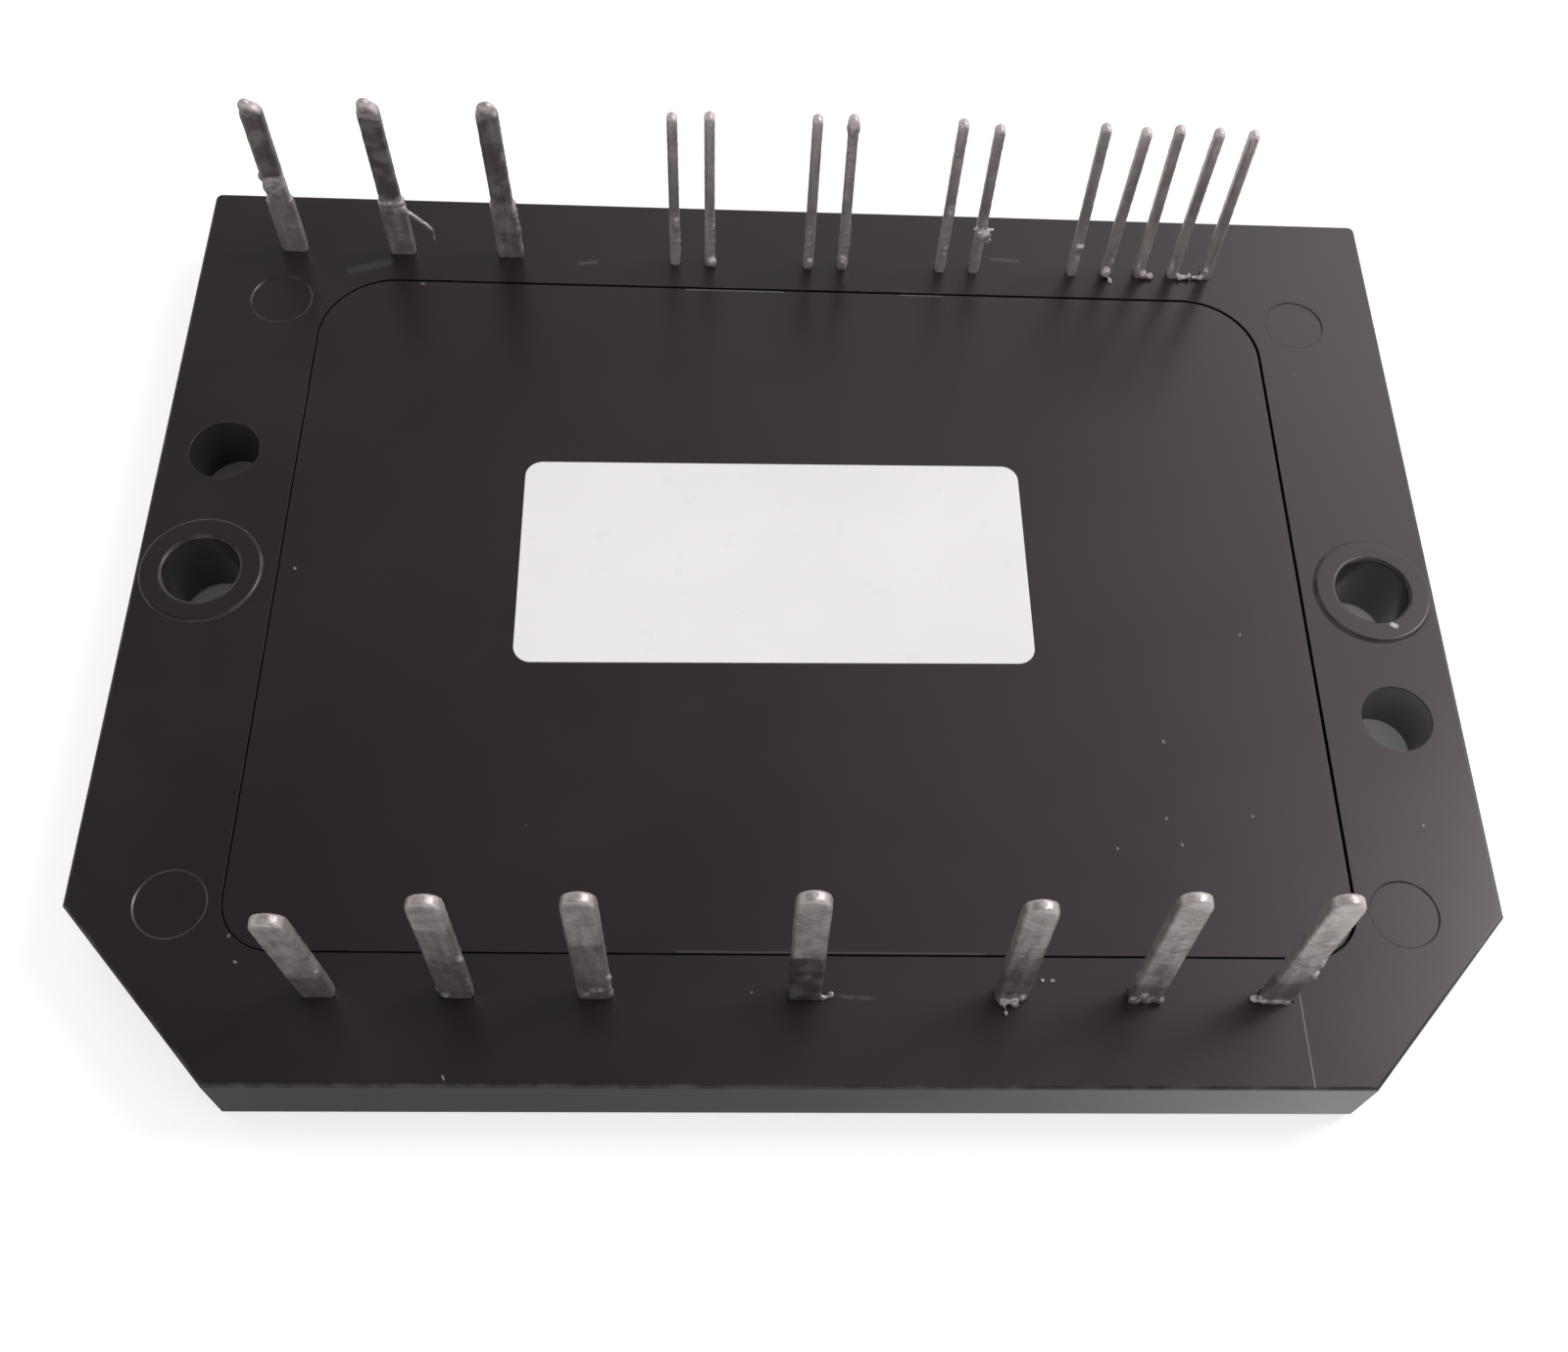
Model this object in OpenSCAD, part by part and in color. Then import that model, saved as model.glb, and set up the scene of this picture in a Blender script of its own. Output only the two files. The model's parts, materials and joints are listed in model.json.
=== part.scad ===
// Converter-inverter-brake power module.
// A moulded frame carries two rows of upright terminals. An insulated metal board closes it
// from below and a flush lid from above. The chips, bond wires and gel lie between the two.
// Origin: middle of the underside, +X along the length, +Y towards the thin signal pins, +Z up.

/* [Case frame] */
// Length of the case along X
case_w = 88.7; // [88:0.1:96]
// Depth of the case along Y
case_d = 68.7; // [67:0.1:76]
// Height of the case's top face above the underside of the base plate
case_h = 6.0; // [5.9:0.1:8]
// Length along X of each chamfered front corner
chamfer_x = 9.9; // [5:0.1:12]
// Length along Y of each chamfered front corner
chamfer_y = 10.9; // [5:0.1:14]
// Radius of the two rear corners
rear_corner_r = 0.8; // [0.4:0.1:3]
// Width of the bevel that breaks the outer edges
edge_break = 0.2; // [0.1:0.05:0.4]
// Diameter of the ejector marks near the four corners
ejector_d = 4.5; // [3:0.1:5]
// Depth of the ejector marks
ejector_depth = 0.08; // [0.05:0.01:0.2]
// Distance of the ejector marks from the case's middle along X
ejector_x = 38.0; // [37.8:0.1:39]
// Distance of the ejector marks from the mounting holes along Y
ejector_y = 23.7; // [18:0.1:25]

/* [Mounting] */
// Spacing of the two mounting holes
hole_pitch = 80; // [79.4:0.1:80.4]
// Diameter of the mounting holes
hole_d = 5.0; // [4:0.1:5.4]
// How far the mounting holes sit behind the middle of the case
hole_line_y = 0.4; // [0:0.1:1]
// Diameter of the raised pad round each mounting hole
pad_ring_d = 8.4; // [7:0.1:8.6]
// Height of the raised pads above the case
pad_ring_h = 0.2; // [0.1:0.05:0.5]
// Diameter of the blind locating holes
locating_d = 4.8; // [4:0.1:5]
// Depth of the blind locating holes
locating_depth = 4.8; // [3:0.1:5]
// Distance of each locating hole from its mounting hole
locating_offset = 9.9; // [8:0.1:12]

/* [Lid] */
// Length of the lid's seat in the case
lid_w = 70.0; // [69:0.1:71]
// Depth of the lid's seat in the case
lid_d = 52.6; // [51:0.1:53]
// Thickness of the lid
lid_t = 1.2; // [1:0.05:1.25]
// Corner radius of the lid's seat at the rear
lid_rear_r = 5.5; // [3:0.1:8]
// Corner radius of the lid's seat at the front
lid_front_r = 3.5; // [2:0.1:6]
// Gap between the lid and the case, all round
lid_gap = 0.15; // [0.05:0.01:0.25]
// Width of the ledge that carries the lid
lid_ledge = 1.3; // [0.8:0.1:1.6]

/* [Label] */
// Length of the label
label_w = 34.8; // [20:0.1:45]
// Width of the label
label_d = 16.1; // [10:0.1:25]
// Thickness of the label
label_t = 0.1; // [0.05:0.01:0.2]
// Corner radius of the label
label_r = 1.2; // [0.5:0.1:3]
// Label position along X
label_x = -1.5; // [-8:0.1:8]
// Label position along Y
label_y = 2.0; // [-8:0.1:8]
// Turn of the label, counter-clockwise in degrees
label_turn = 0.8; // [-3:0.1:3]

/* [Base board] */
// Thickness of the aluminium base plate
base_t = 2.0; // [1.6:0.05:2.1]
// How far the base plate stands proud of the case's underside
base_proud = 0.3; // [0.1:0.05:0.4]
// Gap round the base plate inside its recess
base_gap = 0.1; // [0.05:0.01:0.3]
// How far the base plate reaches past the well at each end
base_margin_x = 1.3; // [0.8:0.1:1.6]
// How far the base plate reaches past the well at front and rear
base_margin_y = 8.0; // [6:0.1:8.5]
// Corner radius of the base plate
base_corner_r = 2.0; // [1:0.1:4]
// Thickness of the insulating layer on the base plate
insulation_t = 0.12; // [0.08:0.01:0.15]
// Thickness of the glue between the board and the case
glue_t = 0.15; // [0.1:0.01:0.2]
// Thickness of the copper tracks
copper_t = 0.14; // [0.07:0.01:0.2]
// Gap between neighbouring copper tracks
track_gap = 0.7; // [0.5:0.05:1]
// Width of the narrow gate tracks
gate_track_w = 0.7; // [0.5:0.05:0.9]

/* [Chips and wires] */
// Space between the outer chip columns and the ends of the well
column_margin = 1.45; // [1.3:0.05:1.8]
// Side of the switching chips
igbt_size = 4.8; // [4:0.1:5]
// Side of the freewheel diode chips
freewheel_size = 3.6; // [3.4:0.1:4.2]
// Side of the rectifier diode chips
rectifier_size = 4.0; // [3.4:0.1:4.6]
// Thickness of every chip
chip_t = 0.3; // [0.2:0.01:0.35]
// Thickness of the solder under the chips
solder_t = 0.08; // [0.05:0.01:0.12]
// Diameter of the bond wires
wire_d = 0.3; // [0.2:0.01:0.35]
// Rise of the long bond wires above their feet
wire_rise = 0.5; // [0.4:0.05:0.55]
// Height of the gel above the board's insulation
gel_depth = 2.5; // [2.4:0.05:2.55]

/* [Terminals] */
// Height of every terminal above the case
terminal_rise = 15; // [8:0.5:20]
// Thickness of every terminal
terminal_t = 0.8; // [0.6:0.05:0.85]
// Width of the front blades
blade_w = 2.0; // [1.5:0.1:2.4]
// Width of the rear mains blades below their shoulders
mains_w = 1.9; // [1.6:0.1:2.4]
// Width of the rear mains blades above their shoulders
mains_tip_w = 1.55; // [1.2:0.05:1.6]
// Height of the mains blades' shoulders above the case
shoulder_h = 5.3; // [3:0.1:6]
// Width of the thin signal pins
signal_w = 0.75; // [0.5:0.05:1]
// Distance of the front blades from the lid's seat
front_offset = 2.35; // [1.8:0.05:3]
// Distance of the mains blades from the lid's seat
mains_offset = 2.85; // [1.8:0.05:3.3]
// Distance of the signal pins from the lid's seat
signal_offset = 2.55; // [1.8:0.05:3.3]
// Position along X of the single front blade
front_middle_x = 0.3; // [-1:0.1:1]
// Distance of the two front groups of three from that blade
front_group_x = 20.6; // [20:0.1:21]
// Spacing of the blades inside a front group
front_pitch = 8.15; // [7.8:0.05:8.4]
// Position along X of the middle mains blade
mains_x = -29.6; // [-30:0.1:-29]
// Spacing of the mains blades
mains_pitch = 8.05; // [7.8:0.05:8.2]
// Position along X of the middle signal pair
pair_x = 2.3; // [1.5:0.1:3]
// Spacing of the three signal pairs
pair_pitch = 10.1; // [9.6:0.1:10.6]
// Spacing of the thin pins inside a pair or the group of five
signal_pitch = 2.6; // [2.4:0.05:2.7]
// Distance of the middle pin in the group of five from the end of the lid's seat
signal_group_inset = 8.5; // [8:0.1:9]
// Thickness of the case plastic under the terminals' feet
shelf_t = 0.55; // [0.5:0.05:0.6]
// Depth of the shelf that shows the terminals' feet
shelf_d = 3.4; // [3:0.1:3.6]

/* [Hidden] */
$fn = 48;
COLUMNS = 10;
FRONT = ["rectifier_plus_terminal", "dc_minus_terminal", "dc_plus_terminal", "output_u_terminal",
    "output_v_terminal", "output_w_terminal", "brake_terminal"];
MAINS = ["mains_r_terminal", "mains_s_terminal", "mains_t_terminal"];
SIGNAL = [for (i = [1 : 11]) str("signal_pin_", i)];
RECTIFIERS = [for (i = [1 : 6]) str("rectifier_diode_", i)];
IGBTS = [for (i = [1 : 7]) str("igbt_chip_", i)];
FREEWHEELS = [for (i = [1 : 7]) str("freewheel_diode_", i)];

// Cut depth past a face, and the overlap that joins two shapes of one piece
past = 1;
join = 0.2;
// Facets of the case's rear corners and their least radius, and the thickness of a level's skin
corner_facets = 24;
least_r = 0.1;
skin = 0.01;

// Levels, from the underside up
board_z = base_t + insulation_t;
glue_top = board_z + glue_t;
shelf_z = glue_top + shelf_t;
foot_top = shelf_z + terminal_t;
copper_top = board_z + copper_t;
chip_z = copper_top + solder_t;
chip_top = chip_z + chip_t;
lid_z = case_h - lid_t;
gel_top = min(board_z + gel_depth, lid_z);

// Plan sizes of the well under the lid, and of the part of it below the shelves
well_w = lid_w - 2 * lid_ledge;
well_d = lid_d - 2 * lid_ledge;
board_well_d = well_d - 2 * shelf_d;
base_w = well_w + 2 * base_margin_x;
base_d = board_well_d + 2 * base_margin_y;
well_corner_r = 1;

// Strips and islands of the board, measured from its middle
board_rim = 0.4;
board_edge = board_well_d / 2 - board_rim;
gate_track_shift = 1;
gate_track_y = board_edge - gate_track_shift - gate_track_w / 2;
plus_strip_d = 2;
plus_strip_y = gate_track_y - 3 * gate_track_w - track_gap - plus_strip_d / 2;
minus_strip_d = 4.6;
minus_strip_y = -board_edge + minus_strip_d / 2;
island_front = minus_strip_y + minus_strip_d / 2 + track_gap;
island_rear = plus_strip_y - plus_strip_d / 2 - track_gap;

// Ten columns of chips in two rows, with the minus finger between the rows
rear_row_inset = 3.75;
front_row_inset = 10.4;
split_shift = 0.3;
rear_row_y = island_rear - rear_row_inset;
front_row_y = island_front + front_row_inset;
split_y = (rear_row_y + front_row_y) / 2 - split_shift;
finger_d = 2;
chip_pitch = (well_w - 2 * column_margin) / COLUMNS;
island_w = chip_pitch - track_gap;
end_track_w = 1.1;
end_track_x = COLUMNS / 2 * chip_pitch + end_track_w / 2;
brake_track_x = column_x(9) + island_w / 2 + track_gap;
solder_rim = 0.1;

function column_x(i) = (i - (COLUMNS - 1) / 2) * chip_pitch;
function gate_row_y(k) = gate_track_y - k * 2 * gate_track_w;

// Feet of the bond wires, and half the spacing of two that lie side by side
foot_l = 0.9;
foot_w = 0.45;
pair_half = 0.6;
// Rise of a short wire that drops from a terminal's foot, clear of the foot's edge
drop_rise = 0.75;
// Distance of a wire's foot from the middle of its chip, or from the edge of its track
near = 1.1;
// Step between two wires that leave one chip, and between their landings on the next island
chip_step = 1;
landing_step = 2;
landing_gap = 4.4;
// Distance of a wire pair from the edge of the island it lands on
pair_edge = 0.875;

// Plan positions of the terminals
front_y = -lid_d / 2 - front_offset;
mains_y = lid_d / 2 + mains_offset;
signal_y = lid_d / 2 + signal_offset;
front_x = concat(
    [for (i = [-1 : 1]) front_middle_x - front_group_x + i * front_pitch],
    [front_middle_x],
    [for (i = [-1 : 1]) front_middle_x + front_group_x + i * front_pitch]);
mains_xs = [for (i = [-1 : 1]) mains_x + i * mains_pitch];
signal_x = concat(
    [for (i = [-1 : 1], side = [-0.5, 0.5]) pair_x + i * pair_pitch + side * signal_pitch],
    [for (i = [-2 : 2]) lid_w / 2 - signal_group_inset + i * signal_pitch]);

// Inner ends of the terminals' feet; the mains feet fan in to reach the well
foot_reach = board_well_d / 2;
wire_foot_y = foot_reach + foot_l;
mains_foot_inset = 3.58;
mains_fan = (well_w / 2 - mains_foot_inset) / -mains_xs[0];
mains_foot_x = [for (x = mains_xs) x * mains_fan];

// Small bends of the exposed terminals, sideways and towards the rear, in degrees
front_lean = [[1, -4.5], [0, 0], [-0.5, 0.8], [-0.4, 1.6], [-1.7, 0], [-0.7, 2], [0, 1.9]];
mains_lean = [[-1, -1.2], [-1.8, 0.5], [-1.5, 0.8]];
signal_lean = [[0, -0.8], [0, 0], [0, 0.3], [-0.3, 0.8], [0.3, 0.4], [0, -1.3], [-0.4, 0.5],
    [0.5, -0.6], [-0.3, 0.7], [0.4, 0], [-0.2, -0.4]];

// ---- Case ----

module case_outline(inset = 0) {
    x = case_w / 2 - inset;
    y = case_d / 2 - inset;
    r = max(rear_corner_r - inset, least_r);
    slack = inset * (sqrt(chamfer_x * chamfer_x + chamfer_y * chamfer_y) - chamfer_x - chamfer_y);
    cut_x = chamfer_x + slack / chamfer_y;
    cut_y = chamfer_y + slack / chamfer_x;
    hull() {
        polygon([[-x, y - r], [-x, -y + cut_y], [-x + cut_x, -y], [x - cut_x, -y],
            [x, -y + cut_y], [x, y - r]]);
        for (side = [-1, 1]) translate([side * (x - r), y - r]) circle(r = r, $fn = corner_facets);
    }
}

module case_block() {
    hull() {
        translate([0, 0, base_proud]) linear_extrude(skin) case_outline(edge_break);
        translate([0, 0, base_proud + edge_break]) linear_extrude(skin) case_outline();
        translate([0, 0, case_h - edge_break - skin]) linear_extrude(skin) case_outline();
        translate([0, 0, case_h - skin]) linear_extrude(skin) case_outline(edge_break);
    }
}

module rounded_rectangle(w, d, front_r, rear_r) {
    difference() {
        square([w, d], center = true);
        for (side = [-1, 1]) {
            translate([side * w / 2, -d / 2]) square(2 * front_r, center = true);
            translate([side * w / 2, d / 2]) square(2 * rear_r, center = true);
        }
    }
    for (side = [-1, 1]) {
        translate([side * (w / 2 - front_r), -d / 2 + front_r]) circle(r = front_r);
        translate([side * (w / 2 - rear_r), d / 2 - rear_r]) circle(r = rear_r);
    }
}

module lid_plan(inset = 0) {
    rounded_rectangle(lid_w - 2 * inset, lid_d - 2 * inset, lid_front_r - inset, lid_rear_r - inset);
}

module base_plan(grow = 0) {
    r = base_corner_r + grow;
    rounded_rectangle(base_w + 2 * grow, base_d + 2 * grow, r, r);
}

module well_plan(d) {
    rounded_rectangle(well_w, d, well_corner_r, well_corner_r);
}

module at_mounting_holes() {
    for (side = [-1, 1]) translate([side * hole_pitch / 2, hole_line_y]) children();
}

module case_frame() {
    color([0.17, 0.155, 0.17]) difference() {
        union() {
            case_block();
            intersection() {
                at_mounting_holes() cylinder(d = pad_ring_d, h = case_h + pad_ring_h);
                translate([0, 0, case_h - 2 * join]) linear_extrude(2 * join + pad_ring_h)
                    case_outline(edge_break);
            }
        }
        at_mounting_holes() translate([0, 0, -past])
            cylinder(d = hole_d, h = case_h + pad_ring_h + 2 * past);
        for (side = [-1, 1])
            translate([side * hole_pitch / 2, hole_line_y - side * locating_offset,
                case_h - locating_depth]) cylinder(d = locating_d, h = locating_depth + past);
        for (side = [-1, 1], end = [-1, 1])
            translate([side * ejector_x, hole_line_y + end * ejector_y, case_h - ejector_depth])
                cylinder(d = ejector_d, h = ejector_depth + past);
        translate([0, 0, lid_z]) linear_extrude(lid_t + past) lid_plan();
        translate([0, 0, shelf_z]) linear_extrude(lid_z - shelf_z + past) well_plan(well_d);
        linear_extrude(shelf_z + past) well_plan(board_well_d);
        translate([0, 0, -past]) linear_extrude(glue_top + past) base_plan(base_gap);
        terminal_roots();
    }
}

module lid() {
    color([0.165, 0.15, 0.16])
        translate([0, 0, lid_z]) linear_extrude(lid_t) lid_plan(lid_gap);
}

module label() {
    color([0.9, 0.89, 0.91]) translate([label_x, label_y, case_h]) rotate([0, 0, label_turn])
        linear_extrude(label_t) rounded_rectangle(label_w, label_d, label_r, label_r);
}

// ---- Board ----

module base_plate() {
    color([0.78, 0.79, 0.8]) linear_extrude(base_t) base_plan();
}

module insulation_layer() {
    color([0.86, 0.86, 0.8]) translate([0, 0, base_t]) linear_extrude(insulation_t) base_plan();
}

module case_glue() {
    color([0.75, 0.7, 0.62]) translate([0, 0, board_z]) linear_extrude(glue_t) difference() {
        base_plan();
        well_plan(board_well_d);
    }
}

// A track from one corner to the opposite one
module track(x0, y0, x1, y1) {
    translate([x0, y0]) square([x1 - x0, y1 - y0]);
}

// A track under the columns from first to last
module column_track(first, last, y0, y1) {
    track(column_x(first) - island_w / 2, y0, column_x(last) + island_w / 2, y1);
}

module copper_tracks() {
    ac_front = split_y + finger_d / 2 + track_gap;
    bus_rear = split_y - finger_d / 2 - track_gap;
    left_x = -end_track_x - end_track_w / 2;
    color([0.8, 0.5, 0.32]) translate([0, 0, board_z]) linear_extrude(copper_t) {
        // Rectifier: one island for each mains leg, and the common plus bus
        for (i = [0 : 2]) column_track(i, i, ac_front, island_rear);
        column_track(0, 2, island_front, bus_rear);
        // Minus: front strip, left end and the finger between the rectifier's two rows
        column_track(0, 9, -board_edge, -board_edge + minus_strip_d);
        track(left_x, -board_edge, column_x(0) - island_w / 2 - track_gap, split_y + finger_d / 2);
        track(left_x, -board_edge, column_x(0), -board_edge + minus_strip_d);
        track(left_x, split_y - finger_d / 2, column_x(2) + island_w / 2, split_y + finger_d / 2);
        // Plus: rear strip with a finger under each upper switch and the brake diode
        column_track(3, 9, plus_strip_y - plus_strip_d / 2, plus_strip_y + plus_strip_d / 2);
        for (i = [3, 5, 7]) column_track(i, i, island_front, plus_strip_y);
        column_track(9, 9, ac_front, plus_strip_y);
        // Outputs, and the brake switch
        for (i = [4, 6, 8]) column_track(i, i, island_front, island_rear);
        column_track(9, 9, island_front, bus_rear);
        // Gate tracks of two lower switches and of the brake switch
        for (k = [0, 1]) track(column_x(4 + 2 * k) - gate_track_w / 2, gate_row_y(k) - gate_track_w / 2,
            signal_x[6 + k] + gate_track_w / 2, gate_row_y(k) + gate_track_w / 2);
        track(brake_track_x - gate_track_w / 2, front_row_y, brake_track_x + gate_track_w / 2,
            board_edge);
    }
}

module chip(i, y, size) {
    translate([column_x(i) - size / 2, y - size / 2, chip_z]) cube([size, size, chip_t]);
}

module solder_pad(i, y, size) {
    s = size + 2 * solder_rim;
    translate([column_x(i) - s / 2, y - s / 2, copper_top]) cube([s, s, solder_t]);
}

// Column and row of each chip: rectifier legs, inverter arms, brake
function rectifier_column(n) = n % 3;
function rectifier_y(n) = n < 3 ? rear_row_y : front_row_y;
function igbt_y(n) = n < 6 ? rear_row_y : front_row_y;
function freewheel_y(n) = n < 6 ? front_row_y : rear_row_y;
function arm_column(n) = 3 + n;

module rectifier_diode(n) {
    color([0.35, 0.36, 0.4]) chip(rectifier_column(n), rectifier_y(n), rectifier_size);
}

module igbt_chip(n) {
    color([0.3, 0.32, 0.38]) chip(arm_column(n), igbt_y(n), igbt_size);
}

module freewheel_diode(n) {
    color([0.38, 0.38, 0.42]) chip(arm_column(n), freewheel_y(n), freewheel_size);
}

module chip_solder() {
    color([0.62, 0.63, 0.65]) {
        for (n = [0 : 5]) solder_pad(rectifier_column(n), rectifier_y(n), rectifier_size);
        for (n = [0 : 6]) solder_pad(arm_column(n), igbt_y(n), igbt_size);
        for (n = [0 : 6]) solder_pad(arm_column(n), freewheel_y(n), freewheel_size);
    }
}

// ---- Bond wires ----

// An arched wire between two points of the surfaces it is bonded to, with a flat foot on each
module bond_wire(from, to, rise) {
    span = [to[0] - from[0], to[1] - from[1]];
    run = norm(span);
    turn = atan2(span[1], span[0]);
    drop = to[2] - from[2];
    chord = sqrt(run * run + drop * drop);
    arc_r = (chord * chord / 4 + rise * rise) / (2 * rise);
    half = asin(chord / 2 / arc_r);
    for (p = [from, to]) translate([p[0], p[1], p[2]]) rotate([0, 0, turn])
        translate([-foot_l / 2, -foot_w / 2, 0]) cube([foot_l, foot_w, wire_d]);
    translate([(from[0] + to[0]) / 2, (from[1] + to[1]) / 2, (from[2] + to[2] + wire_d) / 2])
        rotate([0, 0, turn]) rotate([0, -atan2(drop, run), 0]) rotate([90, 0, 0])
        translate([0, rise - arc_r, 0]) rotate([0, 0, 90 - half])
        rotate_extrude(angle = 2 * half) translate([arc_r, 0]) circle(d = wire_d, $fn = 16);
}

// Two wires side by side, shifted along X
module wire_pair(from, to, rise) {
    for (side = [-1, 1]) bond_wire(from + [side * pair_half, 0, 0], to + [side * pair_half, 0, 0], rise);
}

metal = [0.82, 0.83, 0.85];

module rectifier_wires() {
    ac_front = split_y + finger_d / 2 + track_gap;
    color(metal) for (i = [0 : 2]) {
        x = column_x(i);
        wire_pair([x - near, rear_row_y, chip_top], [x - near, split_y, copper_top], wire_rise);
        wire_pair([x + near, ac_front + foot_l, copper_top], [x + near, front_row_y, chip_top],
            wire_rise);
    }
}

module inverter_wires() {
    minus_y = minus_strip_y + near;
    landing_y = island_front + landing_gap;
    color(metal) {
        for (n = [0 : 5]) {
            x = column_x(arm_column(n));
            wire_pair([x, rear_row_y - near, chip_top], [x, front_row_y + near, chip_top], wire_rise);
            if (n % 2 == 0)
                for (k = [0, 1]) bond_wire([x + near, front_row_y - k * chip_step, chip_top],
                    [x + chip_pitch - island_w / 2 + near, landing_y + (1 - k) * landing_step,
                        copper_top], wire_rise);
            else
                wire_pair([x, front_row_y - near, chip_top], [x, minus_y, copper_top], wire_rise);
        }
        brake_x = column_x(9);
        wire_pair([brake_x, rear_row_y, chip_top],
            [brake_x, split_y - finger_d / 2 - track_gap - foot_l, copper_top], wire_rise);
        wire_pair([brake_x, front_row_y, chip_top], [brake_x, minus_y, copper_top], wire_rise);
    }
}

module gate_wires() {
    gate_y = rear_row_y + near;
    // A pin's foot, and the ends of the gate tracks
    function pin_foot(p) = [signal_x[p], wire_foot_y, foot_top];
    color(metal) {
        for (k = [0 : 2], side = [-1, 1]) bond_wire(pin_foot(2 * k + (side + 1) / 2),
            [column_x(3 + 2 * k) + side * near, gate_y, chip_top], wire_rise);
        for (k = [0, 1]) {
            bond_wire(pin_foot(6 + k), [signal_x[6 + k], gate_row_y(k), copper_top], drop_rise);
            bond_wire([column_x(4 + 2 * k), gate_row_y(k), copper_top],
                [column_x(4 + 2 * k), gate_y, chip_top], wire_rise);
        }
        for (side = [-1, 1]) bond_wire(pin_foot(8 + (side + 1) / 2),
            [column_x(8) + side * near, gate_y, chip_top], wire_rise);
        bond_wire(pin_foot(10), [brake_track_x, gate_row_y(0), copper_top], drop_rise);
        bond_wire([brake_track_x, front_row_y + foot_l, copper_top],
            [column_x(9) + near, front_row_y + near, chip_top], wire_rise / 2);
    }
}

module terminal_wires() {
    // Column that each front blade feeds; the second one feeds the minus strip
    feeds = [0, 1, 3, 4, 6, 8, 9];
    island_y = island_front + foot_l;
    color(metal) {
        for (p = [0 : 6]) {
            side = front_x[p] < column_x(feeds[p]) ? -1 : 1;
            target = p == 1 ? [front_x[p], minus_strip_y]
                : [column_x(feeds[p]) + side * (island_w / 2 - pair_edge), island_y];
            wire_pair([front_x[p], -wire_foot_y, foot_top], [target[0], target[1], copper_top],
                p == 1 ? drop_rise : wire_rise);
        }
        for (p = [0 : 2]) wire_pair([mains_foot_x[p], wire_foot_y, foot_top],
            [column_x(p), island_rear - foot_l, copper_top], wire_rise);
    }
}

// ---- Terminals ----

blade_foot_w = 3;
signal_foot_w = 1.4;
// Height above the case at which a bent terminal starts to lean
bend_h = 0.3;

// Each terminal: place, width, place and width of its foot in the well, lean, width of its tip
front_set = [for (p = [0 : 6])
    [front_x[p], front_y, blade_w, front_x[p], blade_foot_w, front_lean[p], blade_w]];
mains_set = [for (p = [0 : 2])
    [mains_xs[p], mains_y, mains_w, mains_foot_x[p], blade_foot_w, mains_lean[p], mains_tip_w]];
signal_set = [for (p = [0 : 10])
    [signal_x[p], signal_y, signal_w, signal_x[p], signal_foot_w, signal_lean[p], signal_w]];

// The part that the case is moulded round: the foot on its shelf, and the upright
module terminal_root(x, y, w, toe_x, toe_w) {
    inward = y > 0 ? -1 : 1;
    back = y - inward * terminal_t / 2;
    bend = y + inward * terminal_t / 2;
    end = -inward * foot_reach;
    shelf = -inward * (foot_reach + shelf_d);
    translate([0, 0, shelf_z]) linear_extrude(terminal_t) polygon([[x - w / 2, back],
        [x + w / 2, back], [x + w / 2, bend], [toe_x + toe_w / 2, shelf],
        [toe_x + toe_w / 2, end], [toe_x - toe_w / 2, end], [toe_x - toe_w / 2, shelf],
        [x - w / 2, bend]]);
    translate([x - w / 2, y - terminal_t / 2, shelf_z])
        cube([w, terminal_t, case_h + bend_h - shelf_z]);
}

// A stamped strip, bent into a foot below and rounded at its tip; a narrower tip leaves shoulders
module terminal(t) {
    w = t[2];
    tip_w = t[6];
    round_z = terminal_rise - bend_h - tip_w / 2;
    terminal_root(t[0], t[1], w, t[3], t[4]);
    translate([t[0], t[1], case_h + bend_h]) rotate([-t[5][1], t[5][0], 0])
        translate([0, terminal_t / 2, 0]) rotate([90, 0, 0]) linear_extrude(terminal_t) {
            translate([-tip_w / 2, -join]) square([tip_w, round_z + join]);
            translate([0, round_z]) circle(d = tip_w);
            if (tip_w < w) translate([-w / 2, -join]) square([w, shoulder_h - bend_h + join]);
        }
}

module front_terminal(p) {
    color([0.66, 0.64, 0.62]) terminal(front_set[p]);
}

module mains_terminal(p) {
    color([0.5, 0.49, 0.47]) terminal(mains_set[p]);
}

module signal_pin(p) {
    color([0.58, 0.56, 0.55]) terminal(signal_set[p]);
}

module terminal_roots() {
    for (t = concat(front_set, mains_set, signal_set)) terminal_root(t[0], t[1], t[2], t[3], t[4]);
}

// ---- Gel ----

module all_chips() {
    for (n = [0 : 5]) rectifier_diode(n);
    for (n = [0 : 6]) igbt_chip(n);
    for (n = [0 : 6]) freewheel_diode(n);
}

module silicone_gel() {
    color([0.85, 0.88, 0.9, 0.4]) difference() {
        union() {
            translate([0, 0, board_z]) linear_extrude(gel_top - board_z) well_plan(board_well_d);
            translate([0, 0, shelf_z]) linear_extrude(gel_top - shelf_z) well_plan(well_d);
        }
        copper_tracks();
        chip_solder();
        all_chips();
        terminal_roots();
        rectifier_wires();
        inverter_wires();
        gate_wires();
        terminal_wires();
    }
}

case_frame();
lid();
label();
base_plate();
insulation_layer();
case_glue();
copper_tracks();
chip_solder();
silicone_gel();
rectifier_wires();
inverter_wires();
gate_wires();
terminal_wires();
for (p = [0 : 6]) front_terminal(p);
for (p = [0 : 2]) mains_terminal(p);
for (p = [0 : 10]) signal_pin(p);
for (n = [0 : 5]) rectifier_diode(n);
for (n = [0 : 6]) igbt_chip(n);
for (n = [0 : 6]) freewheel_diode(n);
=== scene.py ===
"""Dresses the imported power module: moulded case and lid, bare label, plated terminals with
remains of solder, and the finishes of the board, chips and gel inside."""

import json
import math

import bmesh
import bpy
from bpy.props import FloatProperty, FloatVectorProperty, PointerProperty
from bpy.types import Operator, Panel, PropertyGroup
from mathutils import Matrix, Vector, noise


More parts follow.
